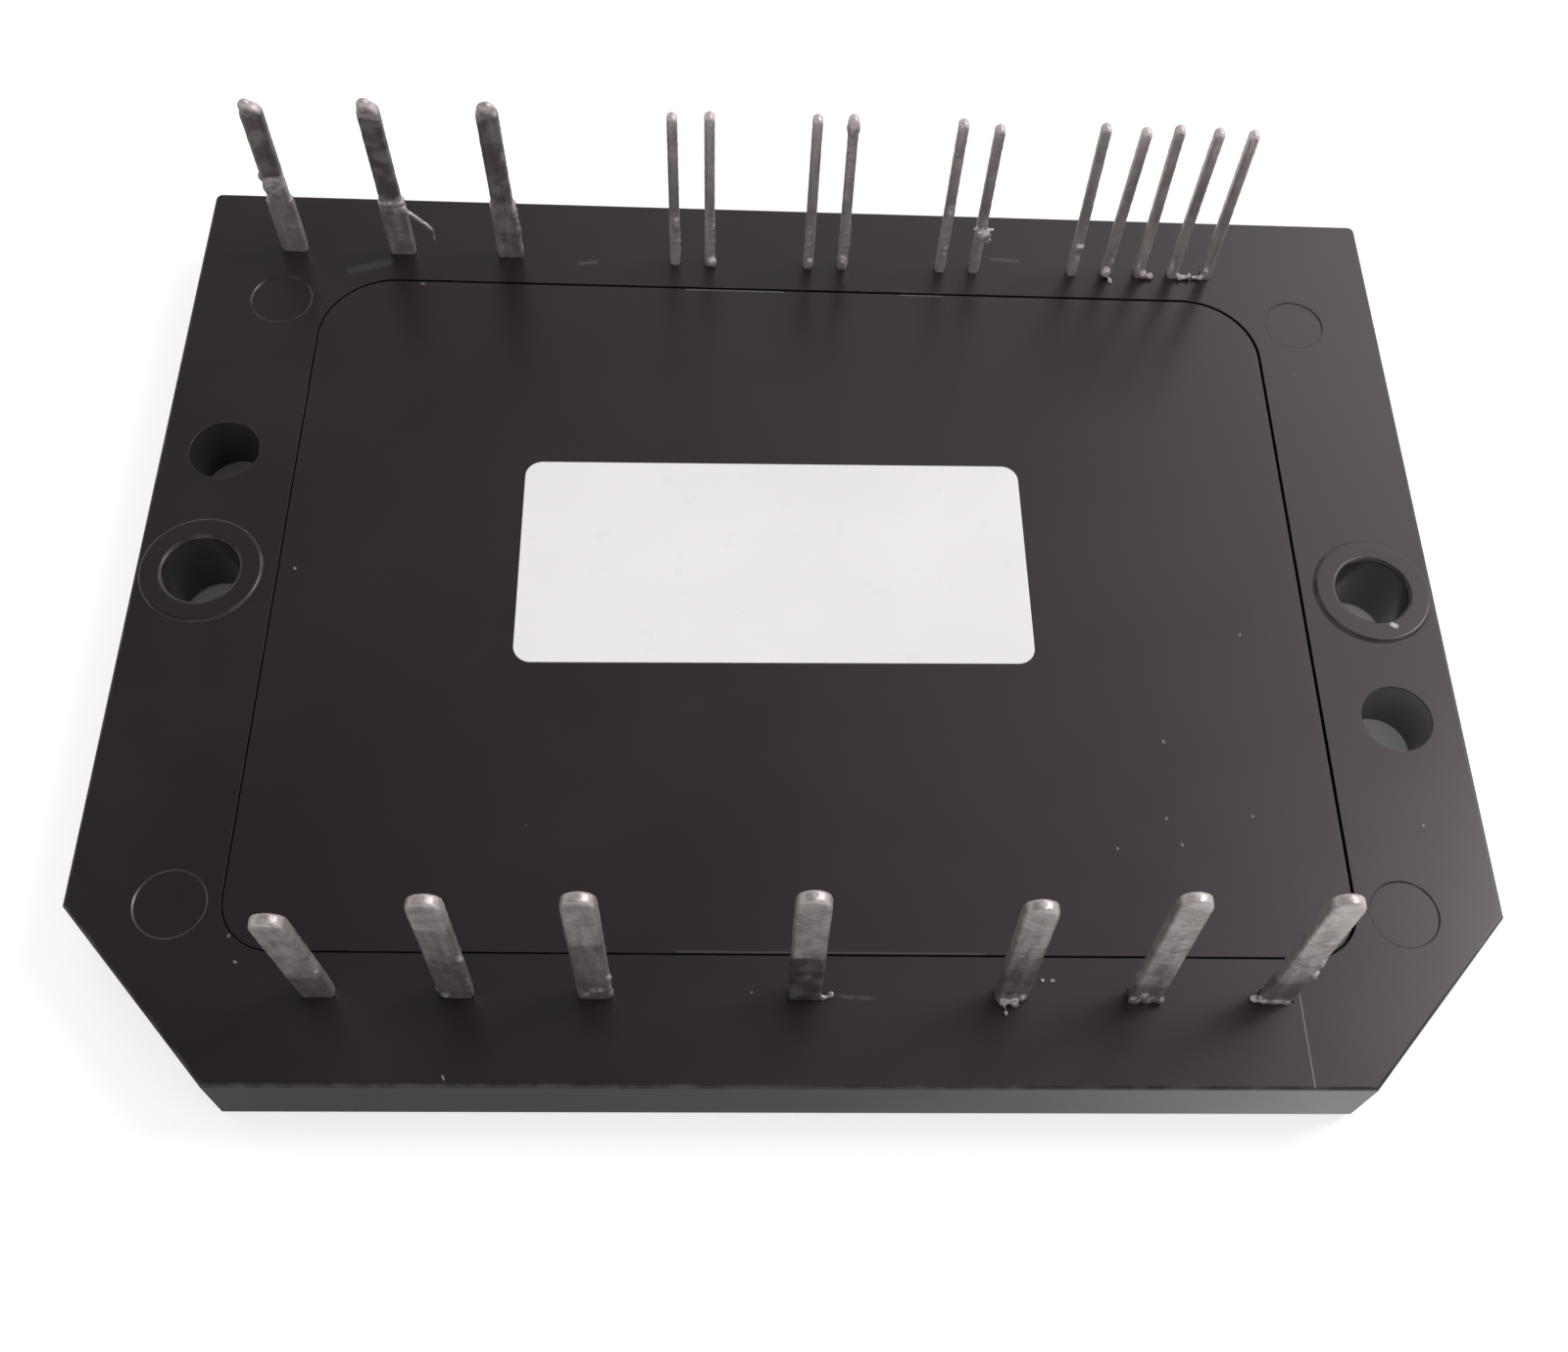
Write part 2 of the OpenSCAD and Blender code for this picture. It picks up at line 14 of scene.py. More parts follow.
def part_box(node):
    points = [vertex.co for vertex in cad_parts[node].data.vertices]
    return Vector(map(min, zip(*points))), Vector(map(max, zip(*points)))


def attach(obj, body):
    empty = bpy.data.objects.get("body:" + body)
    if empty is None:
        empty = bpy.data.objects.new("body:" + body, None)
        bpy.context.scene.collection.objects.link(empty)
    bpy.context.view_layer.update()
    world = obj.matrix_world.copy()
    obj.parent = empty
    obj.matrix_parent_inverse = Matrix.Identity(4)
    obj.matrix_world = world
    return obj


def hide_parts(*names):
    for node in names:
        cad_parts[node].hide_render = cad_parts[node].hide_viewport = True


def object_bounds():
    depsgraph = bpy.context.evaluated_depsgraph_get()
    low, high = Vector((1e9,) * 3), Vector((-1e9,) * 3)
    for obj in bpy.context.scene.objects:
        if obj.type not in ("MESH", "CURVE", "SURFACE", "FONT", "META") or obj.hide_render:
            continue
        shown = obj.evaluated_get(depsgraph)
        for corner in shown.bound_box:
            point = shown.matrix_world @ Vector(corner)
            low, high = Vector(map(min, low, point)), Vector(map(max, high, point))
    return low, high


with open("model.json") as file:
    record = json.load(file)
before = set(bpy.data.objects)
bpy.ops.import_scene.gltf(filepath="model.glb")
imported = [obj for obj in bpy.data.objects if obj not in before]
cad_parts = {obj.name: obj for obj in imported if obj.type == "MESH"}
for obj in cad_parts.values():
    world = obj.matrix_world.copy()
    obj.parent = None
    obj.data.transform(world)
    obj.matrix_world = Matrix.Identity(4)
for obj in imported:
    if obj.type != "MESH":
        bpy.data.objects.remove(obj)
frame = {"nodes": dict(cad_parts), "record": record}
CAD_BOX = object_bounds()

bl_info = {
    "name": "Power module",
    "version": (1, 0, 0),
    "blender": (4, 5, 0),
    "location": "3D View > Sidebar > Power module",
    "description": "Builds the visible pieces and finishes of a converter-inverter-brake module",
    "category": "Object",
}

MM = 0.001

# Two measures of the same thing differ by less than this
NEAR = 0.01 * MM
# The floor lies this far below the module, so that their faces don't coincide
FLOOR_DROP = 0.02 * MM

# Inside the case: radii of the wells and of the base plate's recess, room round the plate, and
# how far the terminals' slots, their straight strips and their feet stay below its top
WELL_R = 1 * MM
RECESS_R = 2.1 * MM
BASE_ROOM = 0.1 * MM
SLOT_DEPTH = 0.15 * MM
STRIP_ROOT = 1.2 * MM
FOOT_TOP = 0.8 * MM

# Faces that meet at less than this are shaded as one
SMOOTH_UNDER = math.radians(32)

# Focal length (mm), share of the frame that the lens is shifted, place (mm) and turn
CAMERA_LENS = 40.06
CAMERA_SHIFT = (-0.02334, -0.02914)
CAMERA_PLACE = (-4.577, -62.12, 107.38)
CAMERA_TURN = (0.524409, -0.053944, -0.011672)

FRONT_TERMINALS = [
    "rectifier_plus_terminal", "dc_minus_terminal", "dc_plus_terminal", "output_u_terminal",
    "output_v_terminal", "output_w_terminal", "brake_terminal",
]
MAINS_TERMINALS = ["mains_r_terminal", "mains_s_terminal", "mains_t_terminal"]
SIGNAL_PINS = [f"signal_pin_{i}" for i in range(1, 12)]


# ---- Sizes and colours that a user would change ----

def length(name, description, millimetres, least=0.0):
    return FloatProperty(name=name, description=description, default=millimetres * MM,
                         min=least * MM, unit="LENGTH", precision=5)


def angle(name, description, degrees):
    return FloatProperty(name=name, description=description, default=math.radians(degrees),
                         unit="ROTATION")


def share(name, description, value):
    return FloatProperty(name=name, description=description, default=value, min=0.0, max=1.0,
                         subtype="FACTOR")


def power(name, description, watts):
    return FloatProperty(name=name, description=description, default=watts, min=0.0,
                         subtype="POWER", unit="POWER")


def colour(name, description, value):
    return FloatVectorProperty(name=name, description=description, default=value, size=3,
                               min=0.0, max=1.0, subtype="COLOR")


class CaseSettings(PropertyGroup):
    chamfer_x: length("Chamfer length", "Length along X of the chamfered front corners", 9.9)
    chamfer_y: length("Chamfer depth", "Length along Y of each chamfered front corner", 10.9)
    corner_r: length("Rear corner radius", "Radius of the two rear corners", 0.5)
    edge_r: length("Edge radius", "Radius of the outer top and bottom edges", 0.22)
    rim_r: length("Rim radius", "Radius of the edges round the lid's seat", 0.03)
    pad_edge: length("Pad edge", "Radius of the raised pads' outer edges", 0.31)
    pad_rim: length("Pad rim", "Radius of the mounting holes' rims", 0.28)
    locating_rim: length("Locating rim", "Radius of the blind holes' rims", 0.08)
    hole_pitch: length("Hole pitch", "Spacing of the two mounting holes", 80)
    hole_y: length("Hole line", "Distance of the mounting holes behind the middle", 0.4)
    hole_r: length("Hole radius", "Radius of the mounting holes", 2.5)
    pad_r: length("Pad radius", "Radius of the raised pads round the mounting holes", 4.15)
    pad_h: length("Pad height", "Height of the raised pads above the case", 0.2)
    locating_r: length("Locating radius", "Radius of the blind locating holes", 2.4)
    locating_depth: length("Locating depth", "Depth of the blind locating holes", 4.8)
    locating_offset: length("Locating offset", "From each mounting hole to its locating hole", 9.9)
    ejector_r: length("Ejector radius", "Radius of the shallow ejector marks", 2.25)
    ejector_depth: length("Ejector depth", "Depth of the ejector marks", 0.07)
    ejector_slope: length("Ejector slope", "Width of the slope round the ejector marks", 0.22)
    ejector_x: length("Ejector spacing", "Distance of the ejector marks from the middle", 38)
    ejector_y: length("Ejector offset", "From the line of the holes to the ejector marks", 23.7)
    slot_gap: length("Slot gap", "Clearance round each terminal where it leaves the case", 0.03)


class LidSettings(PropertyGroup):
    gap: length("Seam", "Gap between the lid and the case", 0.15)
    off_x: length("Off centre along X", "How far left the lid sits in its seat", 0.05)
    off_y: length("Off centre along Y", "How far forward the lid sits in its seat", 0.03)
    ledge: length("Ledge", "Width of the ledge that carries the lid", 1.3)
    front_r: length("Front radius", "Radius of the seat's two front corners", 3.5)
    rear_r: length("Rear radius", "Radius of the seat's two rear corners", 5.5)
    edge_r: length("Edge radius", "Radius of the lid's top edge", 0.04)


class LabelSettings(PropertyGroup):
    width: length("Length", "Length of the label", 34.8)
    depth: length("Width", "Width of the label", 16.1)
    corner_r: length("Corner radius", "Radius of the label's corners", 1.2)
    turn: angle("Turn", "Turn of the label, counter-clockwise", 0.8)


class TerminalSettings(PropertyGroup):
    rise: length("Rise", "Height of the terminals above the case", 14.93)
    mains_rise: length("Mains rise", "Height of the mains blades, without their solder", 14.45)
    bend_h: length("Bend height", "Height above the case at which a bent terminal leans", 0.3)
    grain: length("Skin grain", "Fineness of the terminals' surface mesh", 0.1)
    lump: length("Solder relief", "Height of the lumps in the remains of solder", 0.16)
    blend: length("Zone blend", "Height over which one zone of a terminal fades to the next", 0.5)


class FinishSettings(PropertyGroup):
    case: colour("Case", "Colour of the case's plastic", (0.0110, 0.0078, 0.0080))
    lid: colour("Lid", "Colour of the lid's plastic", (0.0115, 0.0070, 0.0095))
    label: colour("Label", "Colour of the label film", (0.84, 0.815, 0.835))
    tin: colour("Tin plating", "Colour of the plated front terminals", (0.37, 0.325, 0.32))
    tarnish: colour("Tarnish", "Colour of the darkened plating", (0.10, 0.085, 0.085))
    solder: colour("Solder", "Colour of the remains of solder", (0.62, 0.575, 0.565))


class StageSettings(PropertyGroup):
    floor: colour("Floor", "Colour of the floor", (0.55, 0.55, 0.55))
    key: power("Key lamp", "Power of the large soft lamp", 2.0)
    window: power("Window lamp", "Power of the lamp behind and right", 0.45)
    fill: power("Fill lamp", "Power of the fill lamp", 0.4)
    sky: share("Surroundings", "Brightness of the surroundings on matt surfaces", 0.68)


# ---- Modelling steps ----

# Filled by the finishes operator, by material slot
FINISHES = {}


def make_active(piece):
    """Leaves edit mode, and selects one piece alone."""
    if bpy.context.object and bpy.context.object.mode != "OBJECT":
        bpy.ops.object.mode_set(mode="OBJECT")
    bpy.ops.object.select_all(action="DESELECT")
    if piece:
        piece.select_set(True)
        bpy.context.view_layer.objects.active = piece


def named(name):
    """Names the object just made, and puts its place in its mesh."""
    bpy.ops.object.transform_apply(location=True, rotation=True, scale=True)
    piece = bpy.context.active_object
    piece.name = piece.data.name = name
    return piece


def block(name, low, high):
    make_active(None)
    low, high = Vector(low), Vector(high)
    bpy.ops.mesh.primitive_cube_add(size=1, location=(low + high) / 2, scale=high - low)
    return named(name)


def cylinder(name, x, y, z0, z1, radius, vertices=96):
    make_active(None)
    bpy.ops.mesh.primitive_cylinder_add(vertices=vertices, radius=radius, depth=z1 - z0,
                                        location=(x, y, (z0 + z1) / 2))
    return named(name)


def pick(piece, kind, test):
    """Opens a piece in edit mode with only the parts that pass a test selected."""
    make_active(piece)
    bpy.ops.object.mode_set(mode="EDIT")
    bpy.ops.mesh.select_mode(type=kind)
    bpy.ops.mesh.select_all(action="DESELECT")
    mesh = bmesh.from_edit_mesh(piece.data)
    mesh.normal_update()
    for part in {"VERT": mesh.verts, "EDGE": mesh.edges, "FACE": mesh.faces}[kind]:
        if test(part):
            part.select_set(True)
    bmesh.update_edit_mesh(piece.data)


def bevel(piece, test, radius, segments=3):
    """Rounds the edges that pass a test."""
    pick(piece, "EDGE", test)
    bpy.ops.mesh.bevel(offset=radius, offset_type="OFFSET", segments=segments, profile=0.5,
                       affect="EDGES", clamp_overlap=True)
    bpy.ops.object.mode_set(mode="OBJECT")


def turn(by, axis, centre):
    """Turns what is selected, right-handed; with no window the operator turns the other way."""
    bpy.ops.transform.rotate(value=-by, orient_axis=axis, center_override=centre)


def finish_with(piece, kind, **settings):
    """Adds a modifier with its settings, and applies it."""
    make_active(piece)
    bpy.ops.object.modifier_add(type=kind)
    modifier = piece.modifiers[-1]
    for name, value in settings.items():
        setattr(modifier, name, value)
    bpy.ops.object.modifier_apply(modifier=modifier.name)


def join(piece, *others):
    """Joins other meshes to a piece, one after the other."""
    make_active(piece)
    for other in others:
        other.select_set(True)
        bpy.ops.object.join()
    return piece


def shift(piece, way):
    """Moves all of a piece."""
    pick(piece, "VERT", lambda v: True)
    bpy.ops.transform.translate(value=way)


def combine(piece, tool, operation="DIFFERENCE"):
    """Cuts a piece with a tool, or joins the tool to it, and clears the tool away."""
    finish_with(piece, "BOOLEAN", operation=operation, solver="EXACT", object=tool)
    bpy.data.objects.remove(tool)


def upright(edge):
    a, b = (v.co for v in edge.verts)
    return abs(a.x - b.x) + abs(a.y - b.y) < NEAR and abs(a.z - b.z) > 0.02 * MM


def level(edge, z):
    return all(abs(v.co.z - z) < NEAR for v in edge.verts)


def on_circle(edge, x, y, radius):
    return all(abs(math.hypot(v.co.x - x, v.co.y - y) - radius) < 0.02 * MM for v in edge.verts)


def rounded_block(name, low, high, front_r, rear_r, segments=14):
    """A block with one radius on its two front upright edges and another on the rear ones."""
    piece = block(name, low, high)
    middle = (low[1] + high[1]) / 2
    bevel(piece, lambda e: upright(e) and e.verts[0].co.y < middle, front_r, segments)
    bevel(piece, lambda e: upright(e) and e.verts[0].co.y > middle, rear_r, segments)
    return piece


def smooth(piece):
    """Smooth shading that keeps the flat faces flat."""
    make_active(piece)
    bpy.ops.object.shade_smooth_by_angle(angle=SMOOTH_UNDER)
    finish_with(piece, "WEIGHTED_NORMAL", mode="FACE_AREA", weight=100, keep_sharp=True)


def mark_breaks(piece):
    """Stores which faces break an edge, for the wear: those neither level nor upright."""
    upright_z, level_z = 0.12, 0.985
    attribute = piece.data.attributes.new("edge_break", "FLOAT", "FACE")
    for polygon, item in zip(piece.data.polygons, attribute.data):
        item.value = 1.0 if upright_z < abs(polygon.normal.z) < level_z else 0.0


def place(piece, slot, *nodes):
    """Ties a finished piece to the frame, its slot and its finish."""
    make_active(piece)
    piece.data.materials.clear()
    piece.data.materials.append(FINISHES[slot])
    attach(piece, "root")
    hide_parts(*nodes)


def place_moulded(piece, slot, *nodes):
    """Places a moulded piece, with its edges marked and its faces smooth."""
    mark_breaks(piece)
    smooth(piece)
    place(piece, slot, *nodes)


# ---- What the frame says of the terminals ----

def middle_and_span(values):
    return (max(values) + min(values)) / 2, max(values) - min(values)


class Upright:
    """Place, section, foot and lean of one terminal, from its node."""

    def __init__(self, node, bend_z):
        points = [v.co.copy() for v in frame["nodes"][node].data.vertices]
        lowest = min(p.z for p in points)
        self.foot_z = lowest
        foot = [p for p in points if p.z < lowest + NEAR]
        outer = max(abs(p.y) for p in foot)
        inner = min(abs(p.y) for p in foot)
        self.side = 1 if foot[0].y > 0 else -1
        back = [p.x for p in foot if abs(p.y) > outer - NEAR]
        toe = [p.x for p in foot if abs(p.y) < inner + NEAR]
        self.x, self.width = middle_and_span(back)
        self.toe_x, self.toe_w = middle_and_span(toe)
        tops = sorted({round(p.z / MM, 2) for p in points if p.z > lowest + NEAR})
        self.thickness = tops[0] * MM - lowest
        self.y = self.side * (outer - self.thickness / 2)
        self.toe_y = self.side * inner
        shelf = sorted({round(abs(p.y) / MM, 2) for p in foot})
        self.shelf_y = self.side * shelf[1] * MM
        self.bend = Vector((self.x, self.y, bend_z))
        self.top_z = max(p.z for p in points)
        upper = [p for p in points if p.z > (bend_z + self.top_z) / 2]
        axis = (sum(upper, Vector()) / len(upper) - self.bend).normalized()
        self.lean_x = math.atan2(axis.x, math.hypot(axis.y, axis.z))
        self.lean_y = math.atan2(axis.y, axis.z)

        # Straightened, a strip with a shoulder is wide below it and narrower above
        straight = [abs(p.x - self.bend.x - axis.x / axis.z * (p.z - bend_z)) for p in upper]
        self.tip_w = 2 * max(straight)
        wide = [p.z for p in points if bend_z + 1 * MM < p.z < self.top_z - 2 * MM]
        self.shoulder_z = max(wide) if wide else None


# ---- Shared effects ----

class Nodes:
    """Adds nodes to one tree; their inputs take numbers, colours or links."""

    def __init__(self, tree):
        self.tree = tree

    def feed(self, socket, value):
        if isinstance(value, bpy.types.NodeSocket):
            self.tree.links.new(value, socket)
        elif socket.type == "RGBA":
            socket.default_value = (*value, 1.0)
        else:
            socket.default_value = value

    def add(self, kind, values=None, **settings):
        node = self.tree.nodes.new("ShaderNode" + kind)
        for name, value in settings.items():
            setattr(node, name, value)
        for key, value in (values or {}).items():
            self.feed(node.inputs[key], value)
        return node

    def calc(self, operation, *values, clamp=False):
        return self.add("Math", dict(enumerate(values)), operation=operation,
                        use_clamp=clamp).outputs[0]

    def times(self, a, b):
        return self.calc("MULTIPLY", a, b)

    def vector(self, operation, a, b):
        return self.add("VectorMath", {0: a, 1: b}, operation=operation).outputs

    def ramp(self, factor, low, high, out_low=0.0, out_high=1.0, shape="LINEAR"):
        """Turns a band of values into another, with its ends held."""
        return self.add("MapRange", {
            "Value": factor, "From Min": low, "From Max": high, "To Min": out_low,
            "To Max": out_high}, interpolation_type=shape).outputs["Result"]

    def mix(self, factor, a, b):
        return self.add("Mix", {0: factor, 6: a, 7: b}, data_type="RGBA").outputs[2]

    def where(self):
        return self.add("TexCoord").outputs["Object"]

    def apart(self, vector):
        return self.add("SeparateXYZ", {0: vector}).outputs

    def per_metre(self, per_mm):
        return per_mm / MM if isinstance(per_mm, float) else self.times(per_mm, 1 / MM)

    def noise(self, vector, per_mm, detail=4.0, roughness=0.55):
        return self.add("TexNoise", {"Vector": vector, "Scale": self.per_metre(per_mm),
                                     "Detail": detail, "Roughness": roughness}).outputs["Fac"]


class Effect(Nodes):
    """A shared shader group in the making. An input without a value is a vector."""

    def __init__(self, name, inputs, outputs):
        super().__init__(bpy.data.node_groups.new(name, "ShaderNodeTree"))
        for socket, value in inputs.items():
            kind = "NodeSocketVector" if value is None else "NodeSocketFloat"
            made = self.tree.interface.new_socket(socket, in_out="INPUT", socket_type=kind)
            if value is not None:
                made.default_value = value
        for socket in outputs:
            self.tree.interface.new_socket(socket, in_out="OUTPUT", socket_type="NodeSocketFloat")
        self.given = self.tree.nodes.new("NodeGroupInput").outputs

    def give(self, **results):
        end = self.tree.nodes.new("NodeGroupOutput")
        for name, value in results.items():
            self.tree.links.new(value, end.inputs[name])
        return self.tree


def moulding_group():
    """Fine texture and slow mottling of a moulded face."""
    n = Effect("Moulded skin", {"Grain per mm": 6.0, "Mottle per mm": 0.12}, ["Height", "Mottle"])
    where = n.where()
    slow = n.noise(where, n.given[1], 2.0, 0.5)
    return n.give(Height=n.noise(where, n.given[0], 3.0, 0.6),
                  Mottle=n.ramp(slow, 0.25, 0.75, shape="SMOOTHERSTEP"))


def dust_group():
    """Scattered specks, sparse enough that most cells stay clean."""
    n = Effect("Dust specks", {"Specks per mm": 0.6, "Size": 0.08, "Share": 0.15}, ["Mask"])
    cells = n.add("TexVoronoi", {"Vector": n.where(), "Scale": n.per_metre(n.given[0])}).outputs
    near = n.calc("LESS_THAN", cells["Distance"], n.given[1])
    chance = n.add("SeparateColor", {0: cells["Color"]}).outputs[0]
    return n.give(Mask=n.times(near, n.calc("LESS_THAN", chance, n.given[2])))


def wear_group():
    """Polished and lightened edges, broken up by noise."""
    n = Effect("Edge wear", {"Edge": 0.0, "Amount": 0.5}, ["Mask"])
    patches = n.ramp(n.noise(n.where(), 0.5), 0.42, 0.62)
    return n.give(Mask=n.times(n.times(n.given[0], n.given[1]), patches))


def scratch_and_glint_group():
    """A thin line between two points of the top face, thinned out by noise."""
    n = Effect("Scratch_and_glint", {"Start": None, "End": None, "Width": 0.05 * MM, "Breaks": 0.5,
                           "Strength": 0.2}, ["Mask"])
    where = n.where()
    flat = n.vector("MULTIPLY", where, (1.0, 1.0, 0.0))[0]
    run = n.vector("SUBTRACT", n.given["End"], n.given["Start"])[0]
    reach = n.vector("SUBTRACT", flat, n.given["Start"])[0]
    along = n.calc("DIVIDE", n.vector("DOT_PRODUCT", reach, run)["Value"],
                   n.vector("DOT_PRODUCT", run, run)["Value"], clamp=True)
    foot = n.add("VectorMath", {0: run, "Scale": along}, operation="SCALE").outputs[0]
    off = n.vector("DISTANCE", reach, foot)["Value"]
    line = n.ramp(n.calc("DIVIDE", off, n.given["Width"]), 0.3, 1.0, 1.0, 0.0)
    broken = n.ramp(n.calc("SUBTRACT", n.noise(where, 1.3), n.given["Breaks"]), 0.0, 0.12)
    return n.give(Mask=n.times(n.times(line, broken), n.given["Strength"]))


def painted_bore_light_group(case):
    """Painted light in the holes of the case: a mask of their walls, and how pale they are painted
    there, paler towards the right and palest on the blind holes' floors.
    """
    n = Effect("Painted bores", {"Top": 6 * MM, "Floor": 1.2 * MM}, ["Mask", "Pale"])
    x, y, z = n.apart(n.where())
    half_pitch = case.hole_pitch / 2
    sides = n.calc("COMPARE", n.calc("ABSOLUTE", x), half_pitch, 1.5 * case.locating_r)
    middle = n.calc("COMPARE", y, 0.0, case.locating_offset + case.pad_r)
    below = n.calc("LESS_THAN", z, n.calc("SUBTRACT", n.given["Top"], 0.12 * MM))
    above = n.calc("GREATER_THAN", z, 0.4 * MM)
    low = n.calc("LESS_THAN", z, n.calc("ADD", n.given["Floor"], 0.05 * MM))
    blind = n.calc("GREATER_THAN", n.calc("ABSOLUTE", y), 2 * case.hole_r)
    walls = n.ramp(blind, 0, 1, 0.03, n.ramp(x, -half_pitch, half_pitch, 0.03, 0.12))
    floors = n.ramp(x, -half_pitch, half_pitch, 0.22, 0.8)
    return n.give(Mask=n.times(n.times(sides, middle), n.times(below, above)),
                  Pale=n.ramp(n.times(low, blind), 0, 1, walls, floors))


def plating_group():
    """Streaky plated metal: a tone, its roughness and its relief."""
    n = Effect("Plated metal", {"Streaks per mm": 2.0, "Rough": 0.4}, ["Tone", "Roughness", "Height"])
    where = n.where()
    along = n.add("Mapping", {"Vector": where, "Scale": (1.0, 1.0, 0.12)}).outputs[0]
    streak = n.noise(along, n.given[0], 5.0, 0.5)
    tone = n.calc("ADD", n.times(streak, 0.5), n.times(n.noise(where, 0.7), 0.5))
    rough = n.calc("ADD", n.given[1], n.ramp(streak, 0.3, 0.7, -0.08, 0.1))
    return n.give(Tone=n.ramp(tone, 0.36, 0.64), Roughness=rough, Height=n.noise(where, 5.0))


class Finish(Nodes):
    """A material in the making; what is the same all over goes straight on its shader."""
    effects = {}

    def __init__(self, name, **constants):
        self.material = bpy.data.materials.new(name)
        self.material.use_nodes = True
        super().__init__(self.material.node_tree)
        self.shader = self.tree.nodes["Principled BSDF"]
        for socket, value in constants.items():
            self.feed(self.shader.inputs[socket.replace("_", " ")], value)

    def effect(self, name, **values):
        """Puts a shared effect in the material, with its own values."""
        inputs = {key.replace("_", " "): value for key, value in values.items()}
        return self.add("Group", inputs, node_tree=self.effects[name]).outputs

    def attribute(self, name):
        return self.add("Attribute", attribute_name=name).outputs["Fac"]

    def done(self, tint, rough, height, strength, distance):
        """Feeds colour, roughness and relief to the shader."""
        bump = self.add("Bump", {"Height": height, "Strength": strength, "Distance": distance})
        for socket, value in (("Base Color", tint), ("Roughness", rough), ("Normal", bump.outputs[0])):
            self.tree.links.new(value, self.shader.inputs[socket])
        return self.material


def scaled(tint, factor):
    return [c * factor for c in tint]


# ---- Finishes ----

def plastic(name, base, marks_and_glints, bore_light=False):
    """Semi-gloss black plastic with moulded skin, dust, scratches, worn edges and painted highlights,
    and on the case painted light in its holes.
    """
    pale = (0.45, 0.43, 0.42)
    m = Finish(name, Specular_Tint=(1.0, 0.9, 0.97))
    skin = m.effect("skin", Grain_per_mm=5.0, Mottle_per_mm=0.09)
    dust = m.effect("dust", Specks_per_mm=0.35, Size=0.035, Share=0.16)
    fluff = m.effect("dust", Specks_per_mm=0.12, Size=0.016, Share=0.3)
    wear = m.effect("wear", Edge=m.attribute("edge_break"), Amount=0.75)
    tint = m.mix(skin["Mottle"], scaled(base, 0.85), scaled(base, 1.2))
    tint = m.mix(m.times(wear[0], 0.5), tint, (0.09, 0.085, 0.085))
    specks = m.calc("ADD", m.times(dust[0], 0.3), m.times(fluff[0], 0.55), clamp=True)
    tint = m.mix(specks, tint, pale)
    marks = 0.0
    # Each line paints a pale mark: scratches and specks, and on the lid also painted highlights along
    # its edges
    for (x0, y0), (x1, y1), width, breaks, strength in marks_and_glints:
        line = m.effect("scratch_and_glint", Start=(x0 * MM, y0 * MM, 0), End=(x1 * MM, y1 * MM, 0),
                        Width=width / 2 * MM, Breaks=breaks, Strength=strength)[0]
        marks = m.calc("MAXIMUM", marks, line)
    tint = m.mix(marks, tint, pale)
    # Painted light in the holes: pale walls and floors, paler towards the right
    if bore_light:
        bore_paint = m.effect("bore_light")
        tint = m.mix(bore_paint["Mask"], tint, bore_paint["Pale"])
    return m.done(tint, m.ramp(skin["Mottle"], 0, 1, 0.28, 0.32), skin["Height"], 0.1, 0.02 * MM)


def label_film(base):
    """Bare printed-label film: warm white, faint smudges, a very soft sheen."""
    m = Finish("Label film", Coat_Weight=0.12, Coat_Roughness=0.25)
    skin = m.effect("skin", Grain_per_mm=3.0, Mottle_per_mm=0.08)
    smudge = m.ramp(m.noise(m.where(), 0.45, 5.0, 0.7), 0.6, 0.78)
    specks = m.effect("dust", Specks_per_mm=0.5, Size=0.05, Share=0.12)
    tint = m.mix(skin["Mottle"], base, scaled(base, 0.95))
    tint = m.mix(m.times(smudge, 0.25), tint, (0.6, 0.57, 0.6))
    tint = m.mix(m.times(specks[0], 0.35), tint, (0.42, 0.39, 0.43))
    return m.done(tint, m.ramp(skin["Mottle"], 0, 1, 0.42, 0.52), skin["Height"], 0.12,
                  0.01 * MM)


def plated(name, bright, dull, solder, rough):
    """Plated strip: streaky metal below, remains of solder where the mesh says so."""
    m = Finish(name, Metallic=0.68)
    metal = m.effect("plating", Streaks_per_mm=2.2, Rough=rough)
    coat = m.attribute("solder")
    tint = m.mix(metal["Tone"], scaled(bright, 0.8), scaled(bright, 1.15))
    tint = m.mix(m.attribute("tarnish"), tint, dull)
    softer = m.calc("ADD", metal["Roughness"], m.times(coat, 0.08))
    return m.done(m.mix(coat, tint, solder), softer, metal["Height"], 0.5, 0.05 * MM)


def plain_metal(name, light, dark, rough, streaks=2.0, relief=0.2):
    """Metal of an inner piece, streaked and slightly dulled."""
    m = Finish(name, Metallic=1.0)
    metal = m.effect("plating", Streaks_per_mm=streaks, Rough=rough)
    return m.done(m.mix(metal["Tone"], dark, light), metal["Roughness"], metal["Height"],
                  relief, 0.02 * MM)


def mottled(name, light, dark, rough, grain, mottle, relief, **constants):
    """Filled resin, glue or gel: mottled and finely grained."""
    m = Finish(name, **constants)
    skin = m.effect("skin", Grain_per_mm=grain, Mottle_per_mm=mottle)
    return m.done(m.mix(skin["Mottle"], dark, light), m.ramp(skin["Mottle"], 0, 1, *rough),
                  skin["Height"], *relief)


def silicon():
    """Metallised chip face: fine strips over grey-blue silicon."""
    m = Finish("Silicon chip", Metallic=0.7)
    strips = m.add("TexWave", {"Vector": m.where(), "Scale": 1.1 / MM},
                   bands_direction="X").outputs["Fac"]
    skin = m.effect("skin", Grain_per_mm=6.0, Mottle_per_mm=0.4)
    tint = m.mix(m.ramp(strips, 0.35, 0.6), (0.15, 0.16, 0.2), (0.42, 0.43, 0.46))
    tint = m.mix(m.times(skin["Mottle"], 0.3), tint, (0.2, 0.21, 0.27))
    return m.done(tint, m.ramp(skin["Mottle"], 0, 1, 0.25, 0.38), strips, 0.15, 0.01 * MM)


